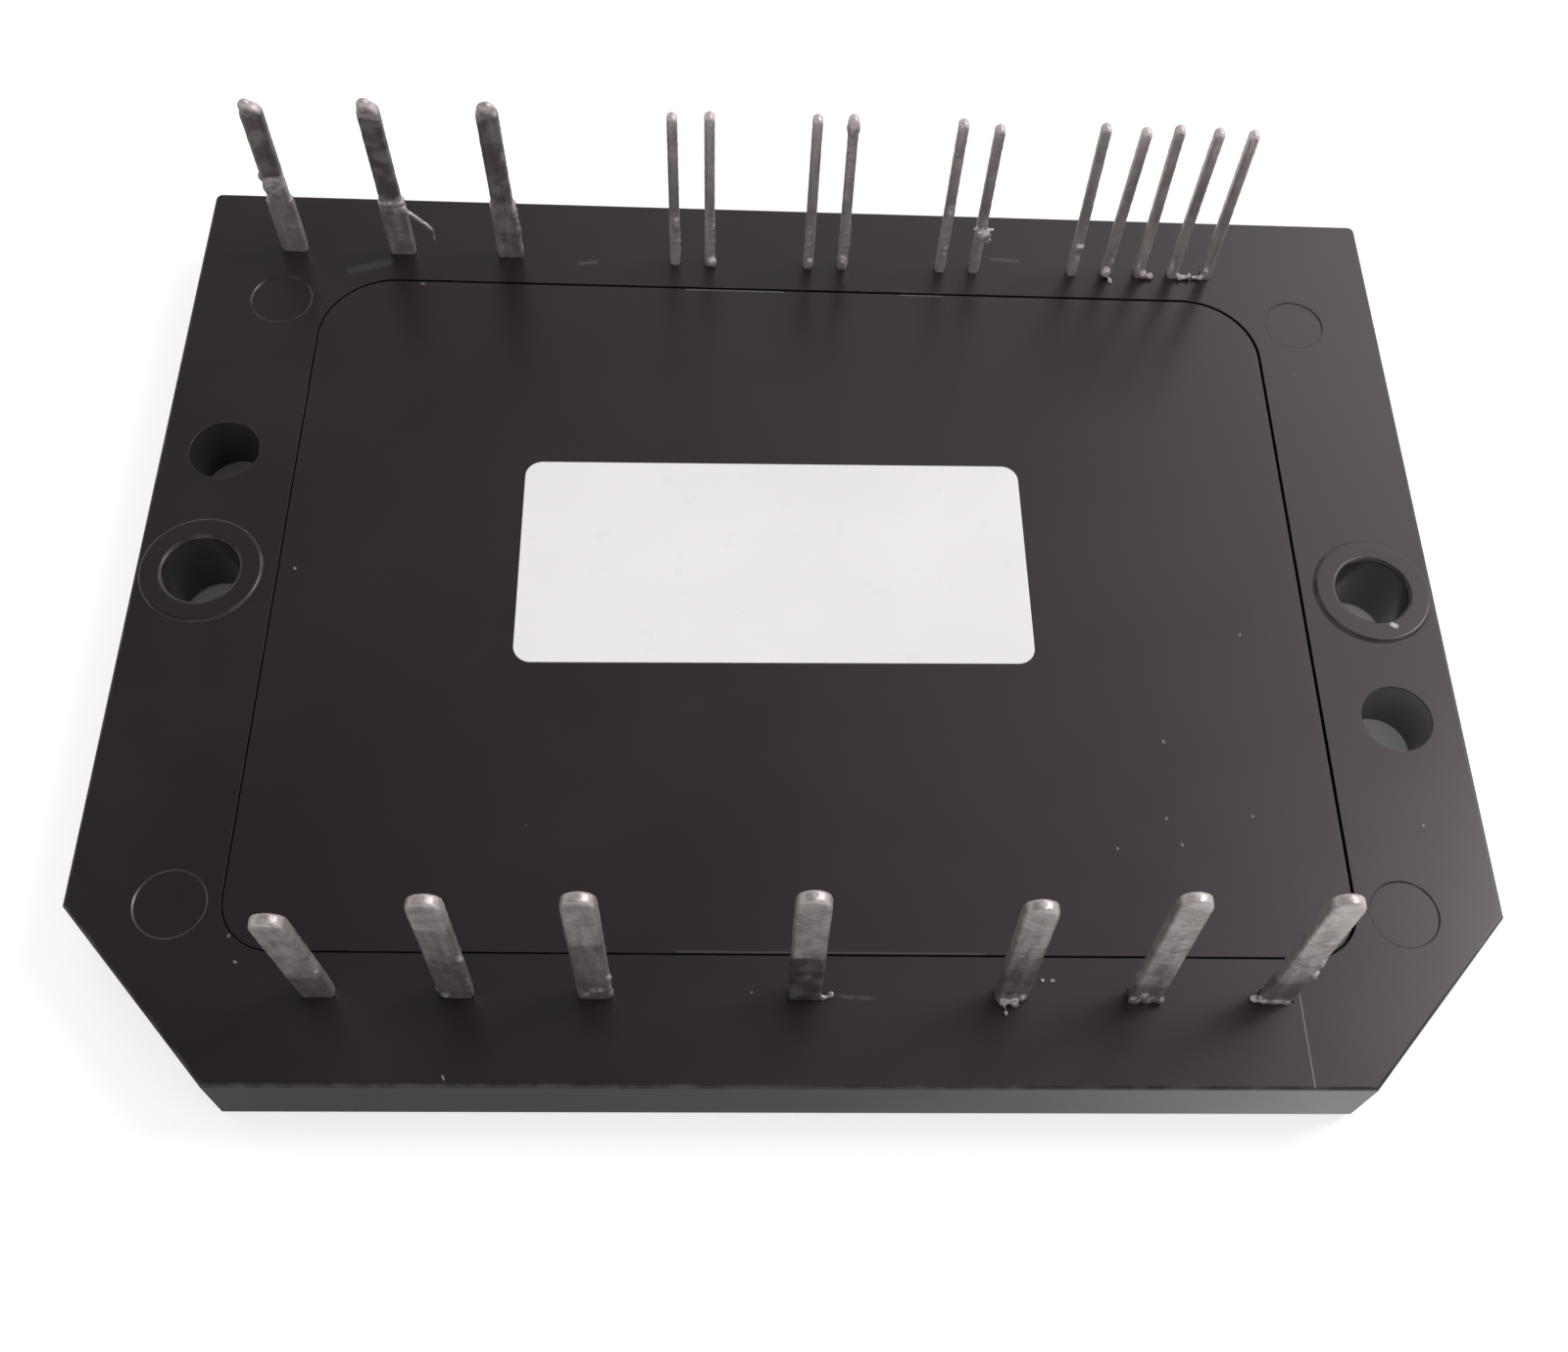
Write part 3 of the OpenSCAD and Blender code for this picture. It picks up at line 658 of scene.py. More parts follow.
# Marks on the top faces: start, end and width (mm), share that is missing, and strength
CASE_MARKS = [
    ((30.5, -27.9), (30.6, -34.2), 0.13, 0.25, 0.3),
    ((-20.7, -33.7), (-20.6, -33.9), 0.16, 0.0, 0.45),
    # A bright pale dot on the rim of the right mounting hole
    ((40.9, -2.35), (41.1, -2.45), 0.5, 0.0, 1.0),
    ((-33.3, 27.0), (-30.6, 27.9), 0.95, 0.0, 0.05),
    ((-16.3, 28.3), (-15.1, 28.5), 0.4, 0.0, 0.1),
    ((15.2, 29.9), (17.2, 29.8), 0.45, 0.1, 0.08),
    ((2.4, -28.8), (4.5, -28.95), 0.34, 0.35, 0.07),
    ((-33.6, -26.9), (-33.5, -26.95), 0.22, 0.0, 0.35),
]
LID_MARKS_AND_GLINTS = [
    # The first three are painted highlights along the lid's front and rear edges
    ((-7.4, -26.08), (11.4, -26.08), 0.14, 0.15, 0.09),
    ((-8.2, 26.03), (-0.9, 26.03), 0.2, 0.2, 0.18),
    ((8.0, 26.03), (11.2, 26.03), 0.18, 0.2, 0.18),
    ((24.0, -11.4), (24.05, -11.5), 0.2, 0.0, 0.5),
    ((23.6, -16.9), (23.6, -17.0), 0.2, 0.0, 0.4),
    ((24.4, -18.7), (24.45, -18.8), 0.2, 0.0, 0.4),
    ((30.2, -3.2), (30.2, -3.3), 0.2, 0.0, 0.4),
    ((29.2, -16.7), (29.25, -16.75), 0.2, 0.0, 0.4),
    ((-33.8, 0.65), (-33.85, 0.7), 0.24, 0.0, 0.5),
    ((-27.9, 25.9), (-27.8, 25.9), 0.3, 0.0, 0.3),
]


def make_finishes():
    """Every finish of the module, by material slot."""
    colours = bpy.context.scene.module_finishes
    Finish.effects = {
        "skin": moulding_group(), "dust": dust_group(), "wear": wear_group(),
        "scratch_and_glint": scratch_and_glint_group(), "plating": plating_group(),
        "bore_light": painted_bore_light_group(bpy.context.scene.module_case)}
    tin, tarnish, solder = colours.tin, colours.tarnish, colours.solder
    return {
        "case_plastic": plastic("Case plastic", colours.case, CASE_MARKS, bore_light=True),
        "lid_plastic": plastic("Lid plastic", colours.lid, LID_MARKS_AND_GLINTS),
        "label_film": label_film(colours.label),
        "front_terminal_metal": plated("Tinned blade", tin, tarnish, solder, 0.36),
        "mains_terminal_metal": plated("Dull blade", scaled(tin, 1.3), scaled(tarnish, 1.5), solder,
                                       0.42),
        "signal_pin_metal": plated("Tinned pin", scaled(tin, 1.75), scaled(tarnish, 3.2), solder,
                                   0.4),
        "solder": plain_metal("Solder", (0.68, 0.66, 0.63), (0.45, 0.43, 0.41), 0.34, 1.2, 0.4),
        "base_aluminium": plain_metal("Brushed aluminium", (0.8, 0.81, 0.82), (0.66, 0.67, 0.68),
                                      0.36, 3.0),
        "copper": plain_metal("Etched copper", (0.8, 0.46, 0.3), (0.55, 0.28, 0.17), 0.3),
        "wire_aluminium": plain_metal("Bond wire", (0.87, 0.88, 0.89), (0.75, 0.76, 0.78), 0.22),
        "insulation": mottled("Filled resin", (0.8, 0.8, 0.72), (0.66, 0.66, 0.58), (0.5, 0.6),
                              4.0, 0.3, (0.3, 0.03 * MM)),
        "glue": mottled("Glue", (0.62, 0.56, 0.45), (0.5, 0.44, 0.34), (0.45, 0.55), 4.0, 0.3,
                        (0.3, 0.03 * MM)),
        "gel": mottled("Silicone gel", (0.97, 0.98, 0.98), (0.93, 0.95, 0.97), (0.05, 0.12), 0.5,
                       0.06, (0.1, 0.05 * MM), Transmission_Weight=0.92, IOR=1.41),
        "silicon": silicon(),
    }


# ---- Pieces ----

class MODULE_OT_finishes(Operator):
    """Make the finishes, and give the board, chips, wires and gel theirs"""
    bl_idname = "module.finishes"
    bl_label = "Finishes"

    def execute(self, context):
        FINISHES.update(make_finishes())
        slots = {part["node"]: part["material_slot"] for part in frame["record"]["subparts"]}
        for node, piece in frame["nodes"].items():
            piece.data.materials.clear()
            piece.data.materials.append(FINISHES[slots[node]])
        return {"FINISHED"}


class MODULE_OT_case(Operator):
    """Model the moulded case frame round the board"""
    bl_idname = "module.case"
    bl_label = "Case frame"

    def execute(self, context):
        case, lid = context.scene.module_case, context.scene.module_lid
        low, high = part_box("case_frame")
        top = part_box("label")[0].z
        lid_low, lid_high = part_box("lid")
        base_low, base_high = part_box("base_plate")
        glue_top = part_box("case_glue")[1].z
        shelf_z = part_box("output_u_terminal")[0].z

        body = block("case_shell", low, (high.x, high.y, top))
        for side in (-1, 1):
            pick(body, "FACE", lambda f: True)
            corner = Vector((side * high.x, low.y, 0))
            middle = corner + Vector((-side * case.chamfer_x / 2, case.chamfer_y / 2, 0))
            outward = Vector((side * case.chamfer_y, -case.chamfer_x, 0)).normalized()
            bpy.ops.mesh.bisect(plane_co=middle, plane_no=outward, use_fill=True, clear_outer=True)
        bevel(body, lambda e: upright(e) and e.verts[0].co.y > high.y - 0.1 * MM, case.corner_r, 8)
        bevel(body, lambda e: level(e, top) or level(e, low.z), case.edge_r, 4)

        # Raised pads, with their soft rims, are joined before anything is cut
        for side in (-1, 1):
            x = side * case.hole_pitch / 2
            pad = cylinder("pad", x, case.hole_y, top - 2 * case.pad_h, top + case.pad_h, case.pad_r)
            bevel(pad, lambda e: level(e, top + case.pad_h), case.pad_edge, 6)
            combine(body, pad, "UNION")

        # Holes: through, blind and the four shallow ejector marks
        over = 1 * MM
        pad_top = top + case.pad_h
        rims = []
        for side in (-1, 1):
            x = side * case.hole_pitch / 2
            blind_y, blind_z = case.hole_y - side * case.locating_offset, top - case.locating_depth
            for y, radius, floor_z, z, rim in (
                    (case.hole_y, case.hole_r, low.z - over, pad_top, case.pad_rim),
                    (blind_y, case.locating_r, blind_z, top, case.locating_rim)):
                combine(body, cylinder("drill", x, y, floor_z, z + over, radius))
                rims.append((x, y, radius, z, rim))
            for end in (-1, 1):
                combine(body, self.ejector_tool(case, side, end, top))
        for x, y, radius, z, rim in rims:
            bevel(body, lambda e: level(e, z) and on_circle(e, x, y, radius), rim, 4)

        # Seat of the lid, the well under it, and the recess of the base plate
        seat_low = (lid_low.x - lid.gap, lid_low.y - lid.gap, lid_low.z)
        seat_high = (lid_high.x + lid.gap, lid_high.y + lid.gap, top + over)
        combine(body, rounded_block("seat", seat_low, seat_high, lid.front_r, lid.rear_r))
        bevel(body, lambda e: level(e, top) and not upright(e) and all(
            seat_low[0] - NEAR <= v.co.x <= seat_high[0] + NEAR
            and seat_low[1] - NEAR <= v.co.y <= seat_high[1] + NEAR for v in e.verts), case.rim_r, 2)
        well_low = (seat_low[0] + lid.ledge, seat_low[1] + lid.ledge, shelf_z)
        well_high = (seat_high[0] - lid.ledge, seat_high[1] - lid.ledge, lid_low.z + over)
        board_d = abs(Upright("output_u_terminal", top).toe_y)
        board_low = (well_low[0], -board_d, low.z - over)
        board_high = (well_high[0], board_d, shelf_z + over)
        plate_low = (base_low.x - BASE_ROOM, base_low.y - BASE_ROOM, low.z - over)
        plate_high = (base_high.x + BASE_ROOM, base_high.y + BASE_ROOM, glue_top)
        for tool_low, tool_high, r, segments in (
                (well_low, well_high, WELL_R, 6), (board_low, board_high, WELL_R, 6),
                (plate_low, plate_high, RECESS_R, 8)):
            combine(body, rounded_block("well", tool_low, tool_high, r, r, segments))

        # A narrow slot round every terminal, just where it leaves the plastic
        slots = None
        for node in FRONT_TERMINALS + MAINS_TERMINALS + SIGNAL_PINS:
            t = Upright(node, top)
            x, y = t.width / 2 + case.slot_gap, t.thickness / 2 + case.slot_gap
            slot = block("slot", (t.x - x, t.y - y, top - SLOT_DEPTH), (t.x + x, t.y + y, top + over))
            slots = join(slots, slot) if slots else slot
        combine(body, slots)
        place_moulded(body, "case_plastic", "case_frame")
        return {"FINISHED"}

    def ejector_tool(self, case, side, end, top):
        """The shape of one ejector mark: a shallow dish with a sloping rim."""
        x, y = side * case.ejector_x, case.hole_y + end * case.ejector_y
        floor_z, slope = top - case.ejector_depth, case.ejector_slope / 2
        dish = cylinder("dish", x, y, floor_z, top + case.ejector_depth, case.ejector_r + slope, 64)
        pick(dish, "VERT", lambda v: v.co.z < top)
        small = (case.ejector_r - slope) / (case.ejector_r + slope)
        bpy.ops.transform.resize(value=(small, small, 1), center_override=(x, y, floor_z))
        return dish


class MODULE_OT_lid(Operator):
    """Model the flush lid with its rounded corners"""
    bl_idname = "module.lid"
    bl_label = "Lid"

    def execute(self, context):
        lid = context.scene.module_lid
        low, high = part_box("lid")
        cover = rounded_block("lid_cover", low, high, lid.front_r - lid.gap, lid.rear_r - lid.gap, 16)
        bevel(cover, lambda e: level(e, high.z) or level(e, low.z), lid.edge_r, 3)
        shift(cover, (-lid.off_x, -lid.off_y, 0))
        place_moulded(cover, "lid_plastic", "lid")
        return {"FINISHED"}


class MODULE_OT_label(Operator):
    """Model the bare label film on the lid"""
    bl_idname = "module.label"
    bl_label = "Label"

    def execute(self, context):
        label = context.scene.module_label
        low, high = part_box("label")
        centre = (low + high) / 2
        half = Vector((label.width / 2, label.depth / 2, 0))
        film = rounded_block("label_sheet", (centre.x - half.x, centre.y - half.y, low.z),
                             (centre.x + half.x, centre.y + half.y, high.z), label.corner_r,
                             label.corner_r, 10)
        bevel(film, lambda e: level(e, high.z), (high.z - low.z) * 0.4, 3)
        pick(film, "VERT", lambda v: True)
        turn(label.turn, "Z", centre)
        place_moulded(film, "label_film", "label")
        return {"FINISHED"}


# State of each terminal. First its zones: height of the zone's top above the case (mm), share of
# solder on it, and tarnish. Then its beads of solder: place across and in depth, height above
# the case, and the radii along X, Y and Z (all mm).
FRONT_STATE = [
    ([(4.7, 0.1, 0.45), (15, 0.55, 0.0)],
     [(-0.3, -0.38, 4.6, 0.75, 0.1, 0.2), (0.95, -0.3, 5.6, 0.15, 0.2, 0.35)]),
    ([(6.4, 0.05, 0.55), (11, 0.2, 0.25), (15, 0.6, 0.0)],
     [(1.0, -0.25, 6.6, 0.2, 0.22, 0.45), (0.98, -0.35, 2.0, 0.12, 0.12, 1.5),
      (-0.6, -0.4, 0.6, 0.25, 0.12, 0.35), (-0.95, -0.3, 1.6, 0.14, 0.15, 0.4)]),
    ([(3.2, 0.15, 0.6), (9, 0.1, 0.3), (15, 0.5, 0.0)],
     [(1.02, -0.3, 3.4, 0.2, 0.2, 0.3), (1.0, -0.35, 1.2, 0.14, 0.15, 0.9),
      (0.2, -0.42, 1.6, 0.5, 0.08, 0.3), (-0.4, -0.42, 0.8, 0.3, 0.08, 0.25)]),
    ([(6.8, 0.0, 0.9), (15, 0.45, 0.0)],
     [(1.6, -0.1, 0.12, 0.2, 0.2, 0.28), (1.2, -0.3, 0.12, 0.22, 0.15, 0.35)]),
    ([(5.5, 0.0, 0.6), (8.5, 0.1, 0.35), (15, 0.5, 0.0)],
     [(-0.5, -0.55, 0.2, 0.3, 0.25, 0.3), (0.2, -0.6, 0.25, 0.28, 0.25, 0.35),
      (-0.35, -1.1, 0.1, 0.15, 0.25, 0.14), (0.6, -0.5, 0.9, 0.2, 0.15, 0.4),
      (2.05, 0.9, 0.06, 0.17, 0.14, 0.14), (2.6, 0.9, 0.06, 0.24, 0.15, 0.14)]),
    ([(2.4, 0.05, 0.5), (15, 0.5, 0.05)],
     [(-0.75, -0.42, 0.4, 0.38, 0.2, 0.5), (0.15, -0.42, 0.5, 0.4, 0.12, 0.6),
      (0.9, -0.45, 0.5, 0.2, 0.2, 0.5), (-0.3, -0.42, 1.2, 0.45, 0.1, 0.3)]),
    ([(3.5, 0.1, 0.45), (15, 0.6, 0.0)],
     [(-1.4, -0.2, 0.12, 0.35, 0.25, 0.2), (-0.8, -0.4, 0.2, 0.35, 0.2, 0.3),
      (-0.1, -0.42, 0.3, 0.4, 0.14, 0.4), (0.5, -0.42, 0.2, 0.25, 0.15, 0.3),
      (1.0, -0.3, 4.5, 0.2, 0.25, 0.6), (0.9, -0.35, 6.3, 0.12, 0.15, 0.9)]),
]
# The thread of solder that hangs from the middle mains blade, and its fork
THREAD = [(0.95 + 0.165 * i, -0.35 - 0.02 * i, 4.6 - 0.17 * i, 0.22 - 0.005 * i, 0.15, 0.2)
          for i in range(11)]
THREAD += [(2.66, -0.55, 2.6 - 0.14 * i, 0.12, 0.11, 0.13) for i in range(7)]
MAINS_STATE = [
    ([(5.4, 0.1, 0.3), (7.9, 0.6, 0.0), (13.8, 0.0, 0.8), (15, 0.4, 0.0)],
     [(0.0, -0.3, 6.7, 0.86, 0.24, 1.2), (-0.8, -0.2, 7.7, 0.15, 0.2, 0.4),
      (-0.24, -0.05, 14.3, 0.5, 0.42, 0.62)]),
    ([(4.4, 0.0, 0.45), (5.7, 0.4, 0.1), (13.6, 0.0, 0.9), (15, 0.5, 0.0)],
     [(0.0, -0.38, 5.2, 0.9, 0.12, 0.3), (0.6, -0.4, 4.6, 0.5, 0.1, 0.4),
      (-0.16, -0.05, 14.3, 0.52, 0.44, 0.62), *THREAD]),
    ([(5.2, 0.0, 0.5), (13.7, 0.0, 0.8), (15, 0.4, 0.2)],
     [(0.9, -0.35, 4.6, 0.2, 0.2, 0.6), (0.98, -0.35, 3.0, 0.16, 0.16, 1.0),
      (0.95, -0.35, 1.2, 0.14, 0.14, 1.0), (0.7, -0.35, 9.9, 0.15, 0.12, 0.7),
      (0.0, -0.05, 14.25, 0.66, 0.42, 0.62)]),
]
PIN_ZONES = [(5.4, 0.4, 0.4), (13.6, 0.0, 0.45), (15, 0.25, 0.1)]
SIGNAL_STATE = [(PIN_ZONES, beads) for beads in (
    [(0.36, -0.36, 2.8, 0.1, 0.1, 2.6), (0.15, -0.38, 4.5, 0.25, 0.2, 0.6)],
    [(0.36, -0.36, 3.0, 0.08, 0.08, 2.0), (0.2, -0.4, 0.45, 0.35, 0.3, 0.45)],
    [(-0.1, -0.38, 2.6, 0.15, 0.12, 1.6), (0.1, -0.4, 0.6, 0.25, 0.2, 0.5)],
    [(0.34, -0.36, 3.4, 0.1, 0.1, 2.2), (0.0, -0.42, 0.8, 0.25, 0.22, 0.7),
     (-0.02, -0.1, 14.0, 0.5, 0.44, 0.92)],
    [(0.1, -0.36, 6.3, 0.3, 0.15, 0.9), (0.1, -0.38, 2.5, 0.2, 0.1, 1.8)],
    [(0.15, -0.35, 4.3, 0.62, 0.34, 0.6), (-0.35, -0.3, 4.8, 0.35, 0.15, 0.15),
     (0.65, -0.3, 3.6, 0.2, 0.15, 0.35), (-0.2, -0.35, 3.6, 0.15, 0.15, 0.4),
     (0.3, -0.35, 5.2, 0.12, 0.12, 0.45), (0.7, -0.3, 4.8, 0.25, 0.12, 0.12)],
    [(0.1, -0.38, 3.1, 0.36, 0.25, 0.45), (0.25, -0.36, 4.2, 0.12, 0.12, 1.2),
     (0.1, -0.38, 1.4, 0.15, 0.12, 1.0)],
    [(-0.05, -0.45, 0.55, 0.38, 0.3, 0.5), (0.2, -0.4, 1.5, 0.14, 0.12, 0.6),
     (0.3, -0.9, 0.06, 0.2, 0.3, 0.12)],
    [(0.3, -0.45, 0.4, 0.3, 0.25, 0.35), (0.85, -0.4, 0.2, 0.3, 0.25, 0.25),
     (-0.3, -0.4, 0.9, 0.12, 0.12, 0.8)],
    [(-0.35, -0.4, 0.9, 0.15, 0.15, 0.9), (0.55, -0.45, 0.25, 0.24, 0.22, 0.28),
     (0.9, -0.4, 0.2, 0.22, 0.18, 0.15), (1.25, -0.4, 0.3, 0.2, 0.22, 0.28)],
    [(-0.5, -0.45, 0.2, 0.25, 0.2, 0.22), (-0.2, -0.42, 0.7, 0.2, 0.15, 0.6),
     (-0.95, -0.42, 0.2, 0.25, 0.18, 0.16)],
)]


def model_strip(name, t, top, rise):
    """One straight stamped strip, closed inside the plastic; a wider lower part has shoulders."""
    low, half_t = top - STRIP_ROOT, t.thickness / 2
    parts = [(t.tip_w / 2, top + rise)]
    if t.shoulder_z:
        parts.append((t.width / 2, t.shoulder_z))
    blades = []
    for half_w, high in parts:
        blade = block(name, (-half_w, -half_t, low), (half_w, half_t, high))
        if high == parts[0][1]:
            bevel(blade, lambda e: level(e, high)
                  and abs(e.verts[0].co.x - e.verts[1].co.x) < NEAR, half_w * 0.98, 10)
        bevel(blade, lambda e: not level(e, low) and all(
            abs(abs(v.co.y) - half_t) < NEAR for v in e.verts)
            and e.verts[0].co.y * e.verts[1].co.y > 0, min(half_w, half_t) * 0.45, 3)
        blades.append(blade)
    return join(*blades)


class MODULE_OT_terminals(Operator):
    """Model the front blades, the mains blades and the thin signal pins"""
    bl_idname = "module.terminals"
    bl_label = "Terminals"

    def execute(self, context):
        settings = context.scene.module_terminals
        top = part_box("label")[0].z
        bend_z = top + settings.bend_h
        relief = bpy.data.textures.new("Solder relief", "CLOUDS")
        relief.noise_scale = 0.4 * MM
        relief.noise_depth = 2
        for nodes, states, slot, prefix in (
                (FRONT_TERMINALS, FRONT_STATE, "front_terminal_metal", "front_blade"),
                (MAINS_TERMINALS, MAINS_STATE, "mains_terminal_metal", "mains_blade"),
                (SIGNAL_PINS, SIGNAL_STATE, "signal_pin_metal", "signal_strip")):
            rise = settings.mains_rise if nodes is MAINS_TERMINALS else settings.rise
            pattern = model_strip(prefix, Upright(nodes[0], bend_z), top, rise)
            for number, (node, (zones, beads)) in enumerate(zip(nodes, states), 1):
                t = Upright(node, bend_z)
                make_active(pattern)
                bpy.ops.object.duplicate(linked=False)
                strip = bpy.context.active_object
                strip.name = strip.data.name = f"{prefix}_{number}"
                self.add_beads(strip, top, beads)
                finish_with(strip, "REMESH", mode="VOXEL", voxel_size=settings.grain,
                            use_smooth_shade=True)
                finish_with(strip, "SMOOTH", factor=0.5, iterations=2)
                self.coat(strip, t, top, zones, number, settings.blend / MM)
                finish_with(strip, "DISPLACE", texture=relief, strength=settings.lump,
                            mid_level=0.5, vertex_group="relief")
                self.add_foot(strip, t, top)
                pick(strip, "VERT", lambda v: v.co.z > bend_z - NEAR)
                turn(-t.lean_y, "X", (0, 0, bend_z))
                turn(t.lean_x, "Y", (0, 0, bend_z))
                shift(strip, (t.x, t.y, 0))
                make_active(strip)
                bpy.ops.object.shade_smooth()
                place(strip, slot, node)
            bpy.data.objects.remove(pattern)
        return {"FINISHED"}

    def add_beads(self, strip, top, beads):
        """Joins the beads and threads of solder left on a strip."""
        for x, y, h, *radii in beads:
            make_active(None)
            bpy.ops.mesh.primitive_ico_sphere_add(
                subdivisions=3, radius=MM, scale=radii, location=(x * MM, y * MM, top + h * MM))
            join(strip, named("bead"))

    def coat(self, strip, t, top, zones, seed, blend):
        """Stores how much solder covers each point of a strip and how dark it has gone."""
        group = strip.vertex_groups.new(name="relief")
        mesh = strip.data
        covered, dark = [], []
        for vertex in mesh.vertices:
            p = vertex.co / MM + Vector((7.3 * seed, 0, 0))
            wave = noise.noise(p * 0.9) * 0.8 + noise.noise(p * 2.7) * 0.35
            h = (vertex.co.z - top) / MM + wave
            solder, tarnish = zones[0][1:]
            for (edge, *_), (_, solder_above, tarnish_above) in zip(zones, zones[1:]):
                past = min(1, max(0, (h - edge) / blend + 0.5))
                solder += (solder_above - solder) * past
                tarnish += (tarnish_above - tarnish) * past
            shouldered = t.shoulder_z and vertex.co.z > t.shoulder_z
            half_w = (t.tip_w if shouldered else t.width) / 2
            proud = max(abs(vertex.co.x) - half_w, abs(vertex.co.y) - t.thickness / 2)
            bead = min(1, max(0, proud / (0.06 * MM)))
            patchy = min(1, max(0, noise.noise(p * 1.1 + Vector((0, 9, 0))) * 1.8 + 0.6))
            speck = min(1, max(0, noise.noise(p * 3.5) * 2.4 + 0.4))
            group.add([vertex.index], max(bead, 0.35), "REPLACE")
            covered.append(max(bead * (0.1 + 0.65 * speck), solder * (0.3 + 0.7 * patchy)))
            dark.append(tarnish * (1 - bead) * (0.45 + 0.55 * patchy) + 0.4 * bead * (1 - speck))
        for name, values in (("solder", covered), ("tarnish", dark)):
            mesh.attributes.new(name, "FLOAT", "POINT")
            mesh.attributes[name].data.foreach_set("value", values)

    def add_foot(self, strip, t, top):
        """Joins the bent foot on its shelf, shaped from the upright inwards."""
        half_w, half_t = t.width / 2, t.thickness / 2
        foot = block("foot", (-half_w, -half_t, t.foot_z), (half_w, half_t, t.foot_z + t.thickness))
        pick(foot, "FACE", lambda f: f.normal.z > 0.9)
        bpy.ops.mesh.extrude_region_move(
            TRANSFORM_OT_translate={"value": (0, 0, top - FOOT_TOP - t.foot_z - t.thickness)})
        x = t.toe_x - t.x
        for y in (t.shelf_y - t.y, t.toe_y - t.y):
            pick(foot, "FACE", lambda f: f.normal.y * -t.side > 0.9
                 and f.calc_center_median().z < t.foot_z + t.thickness)
            mesh = bmesh.from_edit_mesh(foot.data)
            face = next(f for f in mesh.faces if f.select)
            here = face.calc_center_median()
            _, span = middle_and_span([v.co.x for v in face.verts])
            bpy.ops.mesh.extrude_region_move(
                TRANSFORM_OT_translate={"value": (x - here.x, y - here.y, 0)})
            bpy.ops.transform.resize(value=(t.toe_w / span, 1, 1), center_override=(x, y, here.z))
        bevel(foot, lambda e: e.verts[0].co.z < t.foot_z + t.thickness + NEAR, 0.05 * MM, 2)
        join(strip, foot)


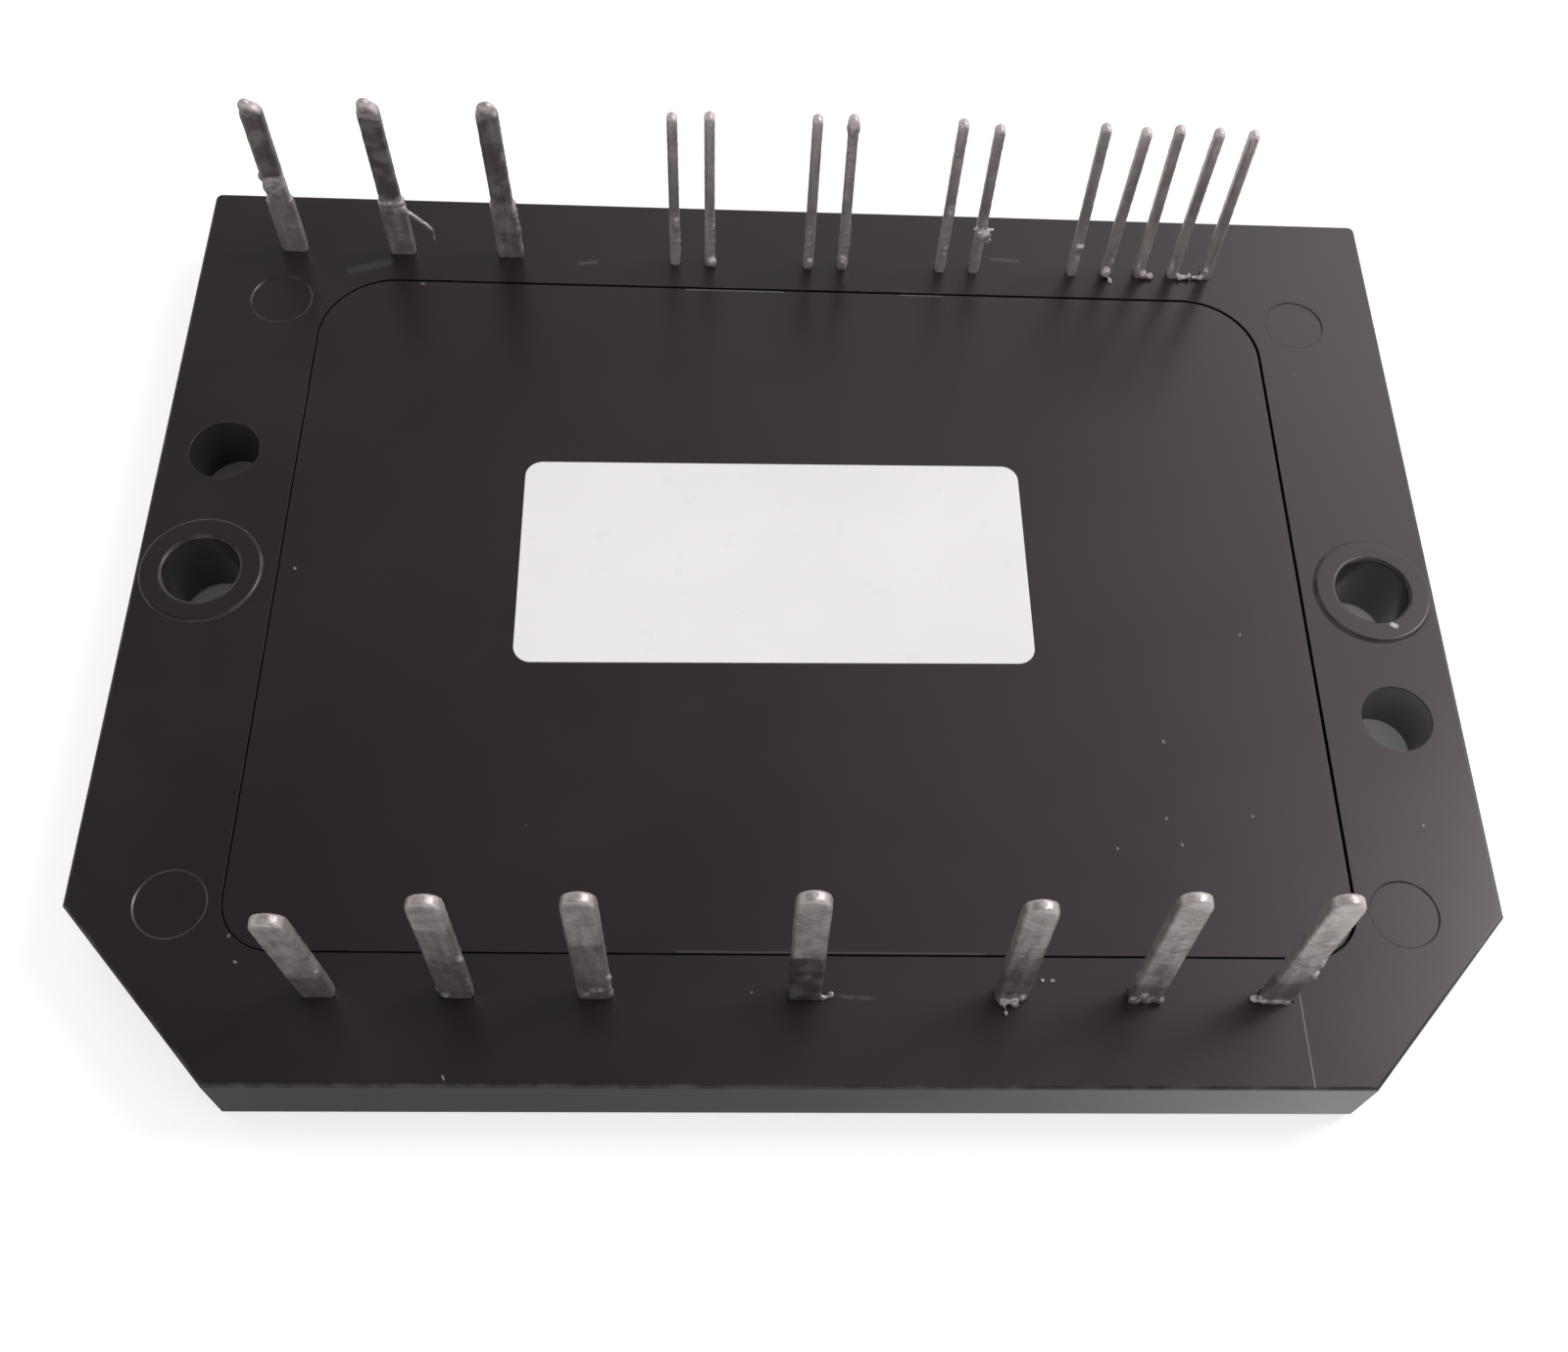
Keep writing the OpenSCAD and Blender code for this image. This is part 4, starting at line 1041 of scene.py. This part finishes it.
class MODULE_OT_stage(Operator):
    """Set up the pale floor, the soft lamps, the surroundings and the camera"""
    bl_idname = "module.stage"
    bl_label = "Stage"

    def execute(self, context):
        stage = context.scene.module_stage
        self.add_floor(stage, context.scene.module_case)
        self.add_world(context.scene, stage)
        self.add_lamp("key_lamp", (0.47, 0.17, 0.57), 0.26, stage.key, (1.0, 0.975, 0.99))
        self.add_lamp("window_lamp", (0.36, 0.46, 0.47), 0.32, stage.window, (1.0, 0.98, 1.0))
        self.add_lamp("fill_lamp", (-0.10, -0.62, 0.52), 0.5, stage.fill, (1.0, 0.99, 0.98))
        self.add_camera(context.scene)
        context.scene.view_settings.view_transform = "Standard"
        return {"FINISHED"}

    def add_floor(self, stage, case):
        make_active(None)
        bpy.ops.mesh.primitive_plane_add(size=4, location=(0, 0, CAD_BOX[0].z - FLOOR_DROP))
        floor = named("floor")
        m = Finish("Pale floor", Roughness=0.9)
        rays = m.add("LightPath").outputs
        where = m.where()
        x, y, _ = m.apart(where)
        tint = m.mix(m.noise(where, 0.02), scaled(stage.floor, 0.99), stage.floor)
        # In glossy rays the floor's own colour is mostly darkened away, leaving its painted reflection
        tint = m.mix(m.times(rays["Is Glossy Ray"], 0.8), tint, (0.0, 0.0, 0.0))
        m.feed(m.shader.inputs["Base Color"], tint)

        # Painted reflection: in glossy rays the floor glows, more and more towards the window lamp on
        # the right
        across = m.ramp(x, -30 * MM, 33 * MM)
        painted_reflection_ramp = m.ramp(m.calc("POWER", across, 3.0), 0, 1, 0.22, 1.0)

        # Seen directly it glows white; under the mounting holes that glow is off, but for a faint
        # painted light that grows towards the right, and the painted reflection is dimmer there
        beside = m.add("CombineXYZ", {0: m.calc("ABSOLUTE", x), 1: y}).outputs[0]
        off_hole = m.vector("DISTANCE", beside, (case.hole_pitch / 2, case.hole_y, 0))["Value"]
        clear = m.calc("GREATER_THAN", off_hole, case.pad_r)
        painted_reflection = m.times(rays["Is Glossy Ray"], m.times(painted_reflection_ramp, m.ramp(clear, 0, 1, 0.35, 1.0)))
        shown = m.calc("MAXIMUM", clear, m.ramp(across, 0, 1, 0.0, 0.12))
        seen = m.calc("MAXIMUM", rays["Is Camera Ray"], rays["Is Transmission Ray"])
        strength = m.calc("ADD", painted_reflection, m.times(seen, m.times(shown, 0.62)))
        white = m.add("Emission", {"Color": (1, 1, 1), "Strength": strength})
        both = m.add("AddShader", {0: m.shader.outputs[0], 1: white.outputs[0]})

        # From below the floor is clear, so that the base plate can be seen
        behind = m.add("NewGeometry").outputs["Backfacing"]
        unseen = m.add("BsdfTransparent").outputs[0]
        one_sided = m.add("MixShader", {0: behind, 1: both.outputs[0], 2: unseen})
        m.feed(m.tree.nodes["Material Output"].inputs["Surface"], one_sided.outputs[0])
        floor.data.materials.append(m.material)

    def add_world(self, scene, stage):
        world = bpy.data.worlds.new("Studio")
        world.use_nodes = True
        scene.world = world
        w = Nodes(world.node_tree)
        rays = w.add("LightPath").outputs
        clear = w.calc("MAXIMUM", rays["Is Camera Ray"], rays["Is Transmission Ray"])
        seen = w.calc("MAXIMUM", clear, rays["Is Glossy Ray"])

        # A room with its window behind and to the right: overhead it dims towards the left
        x, y, z = w.apart(w.add("TexCoord").outputs["Generated"])
        slope = w.calc("MULTIPLY_ADD", y, 1.4, w.times(x, 2.2))
        falling = w.calc("POWER", math.e, w.calc("SUBTRACT", slope, 1.25))
        ceiling = w.calc("MAXIMUM", w.calc("MINIMUM", falling, 1.0), 0.22)
        reflected = w.calc("MAXIMUM", ceiling, w.ramp(z, 0.35, 0.6, 1.0, 0.0))
        glossy = w.times(rays["Is Glossy Ray"], reflected)
        matt = w.ramp(seen, 0, 1, stage.sky, 0.0)
        strength = w.calc("MAXIMUM", w.calc("MAXIMUM", glossy, clear), matt)
        background = w.tree.nodes["Background"]
        w.feed(background.inputs["Color"], (1, 1, 1))
        w.feed(background.inputs["Strength"], strength)

    def add_lamp(self, name, where, size, watts, tint):
        lamp = bpy.data.lights.new(name, "AREA")
        lamp.shape, lamp.size = "DISK", size
        lamp.energy, lamp.color = watts, tint
        holder = bpy.data.objects.new(name, lamp)
        bpy.context.scene.collection.objects.link(holder)
        holder.location = where
        holder.rotation_euler = Vector(where).to_track_quat("Z", "Y").to_euler()

    def add_camera(self, scene):
        camera = bpy.data.cameras.new("camera")
        camera.sensor_width, camera.lens = 36.0, CAMERA_LENS
        camera.shift_x, camera.shift_y = CAMERA_SHIFT
        camera.clip_start, camera.clip_end = 0.005, 20.0
        holder = bpy.data.objects.new("camera", camera)
        scene.collection.objects.link(holder)
        holder.location = Vector(CAMERA_PLACE) * MM
        holder.rotation_euler = CAMERA_TURN
        scene.camera = holder


class MODULE_PT_panel(Panel):
    """Lists the steps that build the module"""
    bl_idname = "MODULE_PT_panel"
    bl_label = "Power module"
    bl_space_type = "VIEW_3D"
    bl_region_type = "UI"
    bl_category = "Power module"

    def draw(self, context):
        for step in STEPS:
            self.layout.operator(step.bl_idname, text=step.bl_label)


STEPS = [MODULE_OT_stage, MODULE_OT_finishes, MODULE_OT_case, MODULE_OT_lid, MODULE_OT_label,
         MODULE_OT_terminals]
SETTINGS = {"module_case": CaseSettings, "module_lid": LidSettings,
            "module_label": LabelSettings, "module_terminals": TerminalSettings,
            "module_finishes": FinishSettings, "module_stage": StageSettings}


def register():
    for made in (*SETTINGS.values(), *STEPS, MODULE_PT_panel):
        bpy.utils.register_class(made)
    for name, kind in SETTINGS.items():
        setattr(bpy.types.Scene, name, PointerProperty(type=kind))


def unregister():
    for name in SETTINGS:
        delattr(bpy.types.Scene, name)
    for made in (MODULE_PT_panel, *reversed(STEPS), *SETTINGS.values()):
        bpy.utils.unregister_class(made)


def main():
    register()
    bpy.ops.module.stage()
    bpy.ops.module.finishes()
    bpy.ops.module.case()
    bpy.ops.module.lid()
    bpy.ops.module.label()
    bpy.ops.module.terminals()


if __name__ == "__main__":
    main()
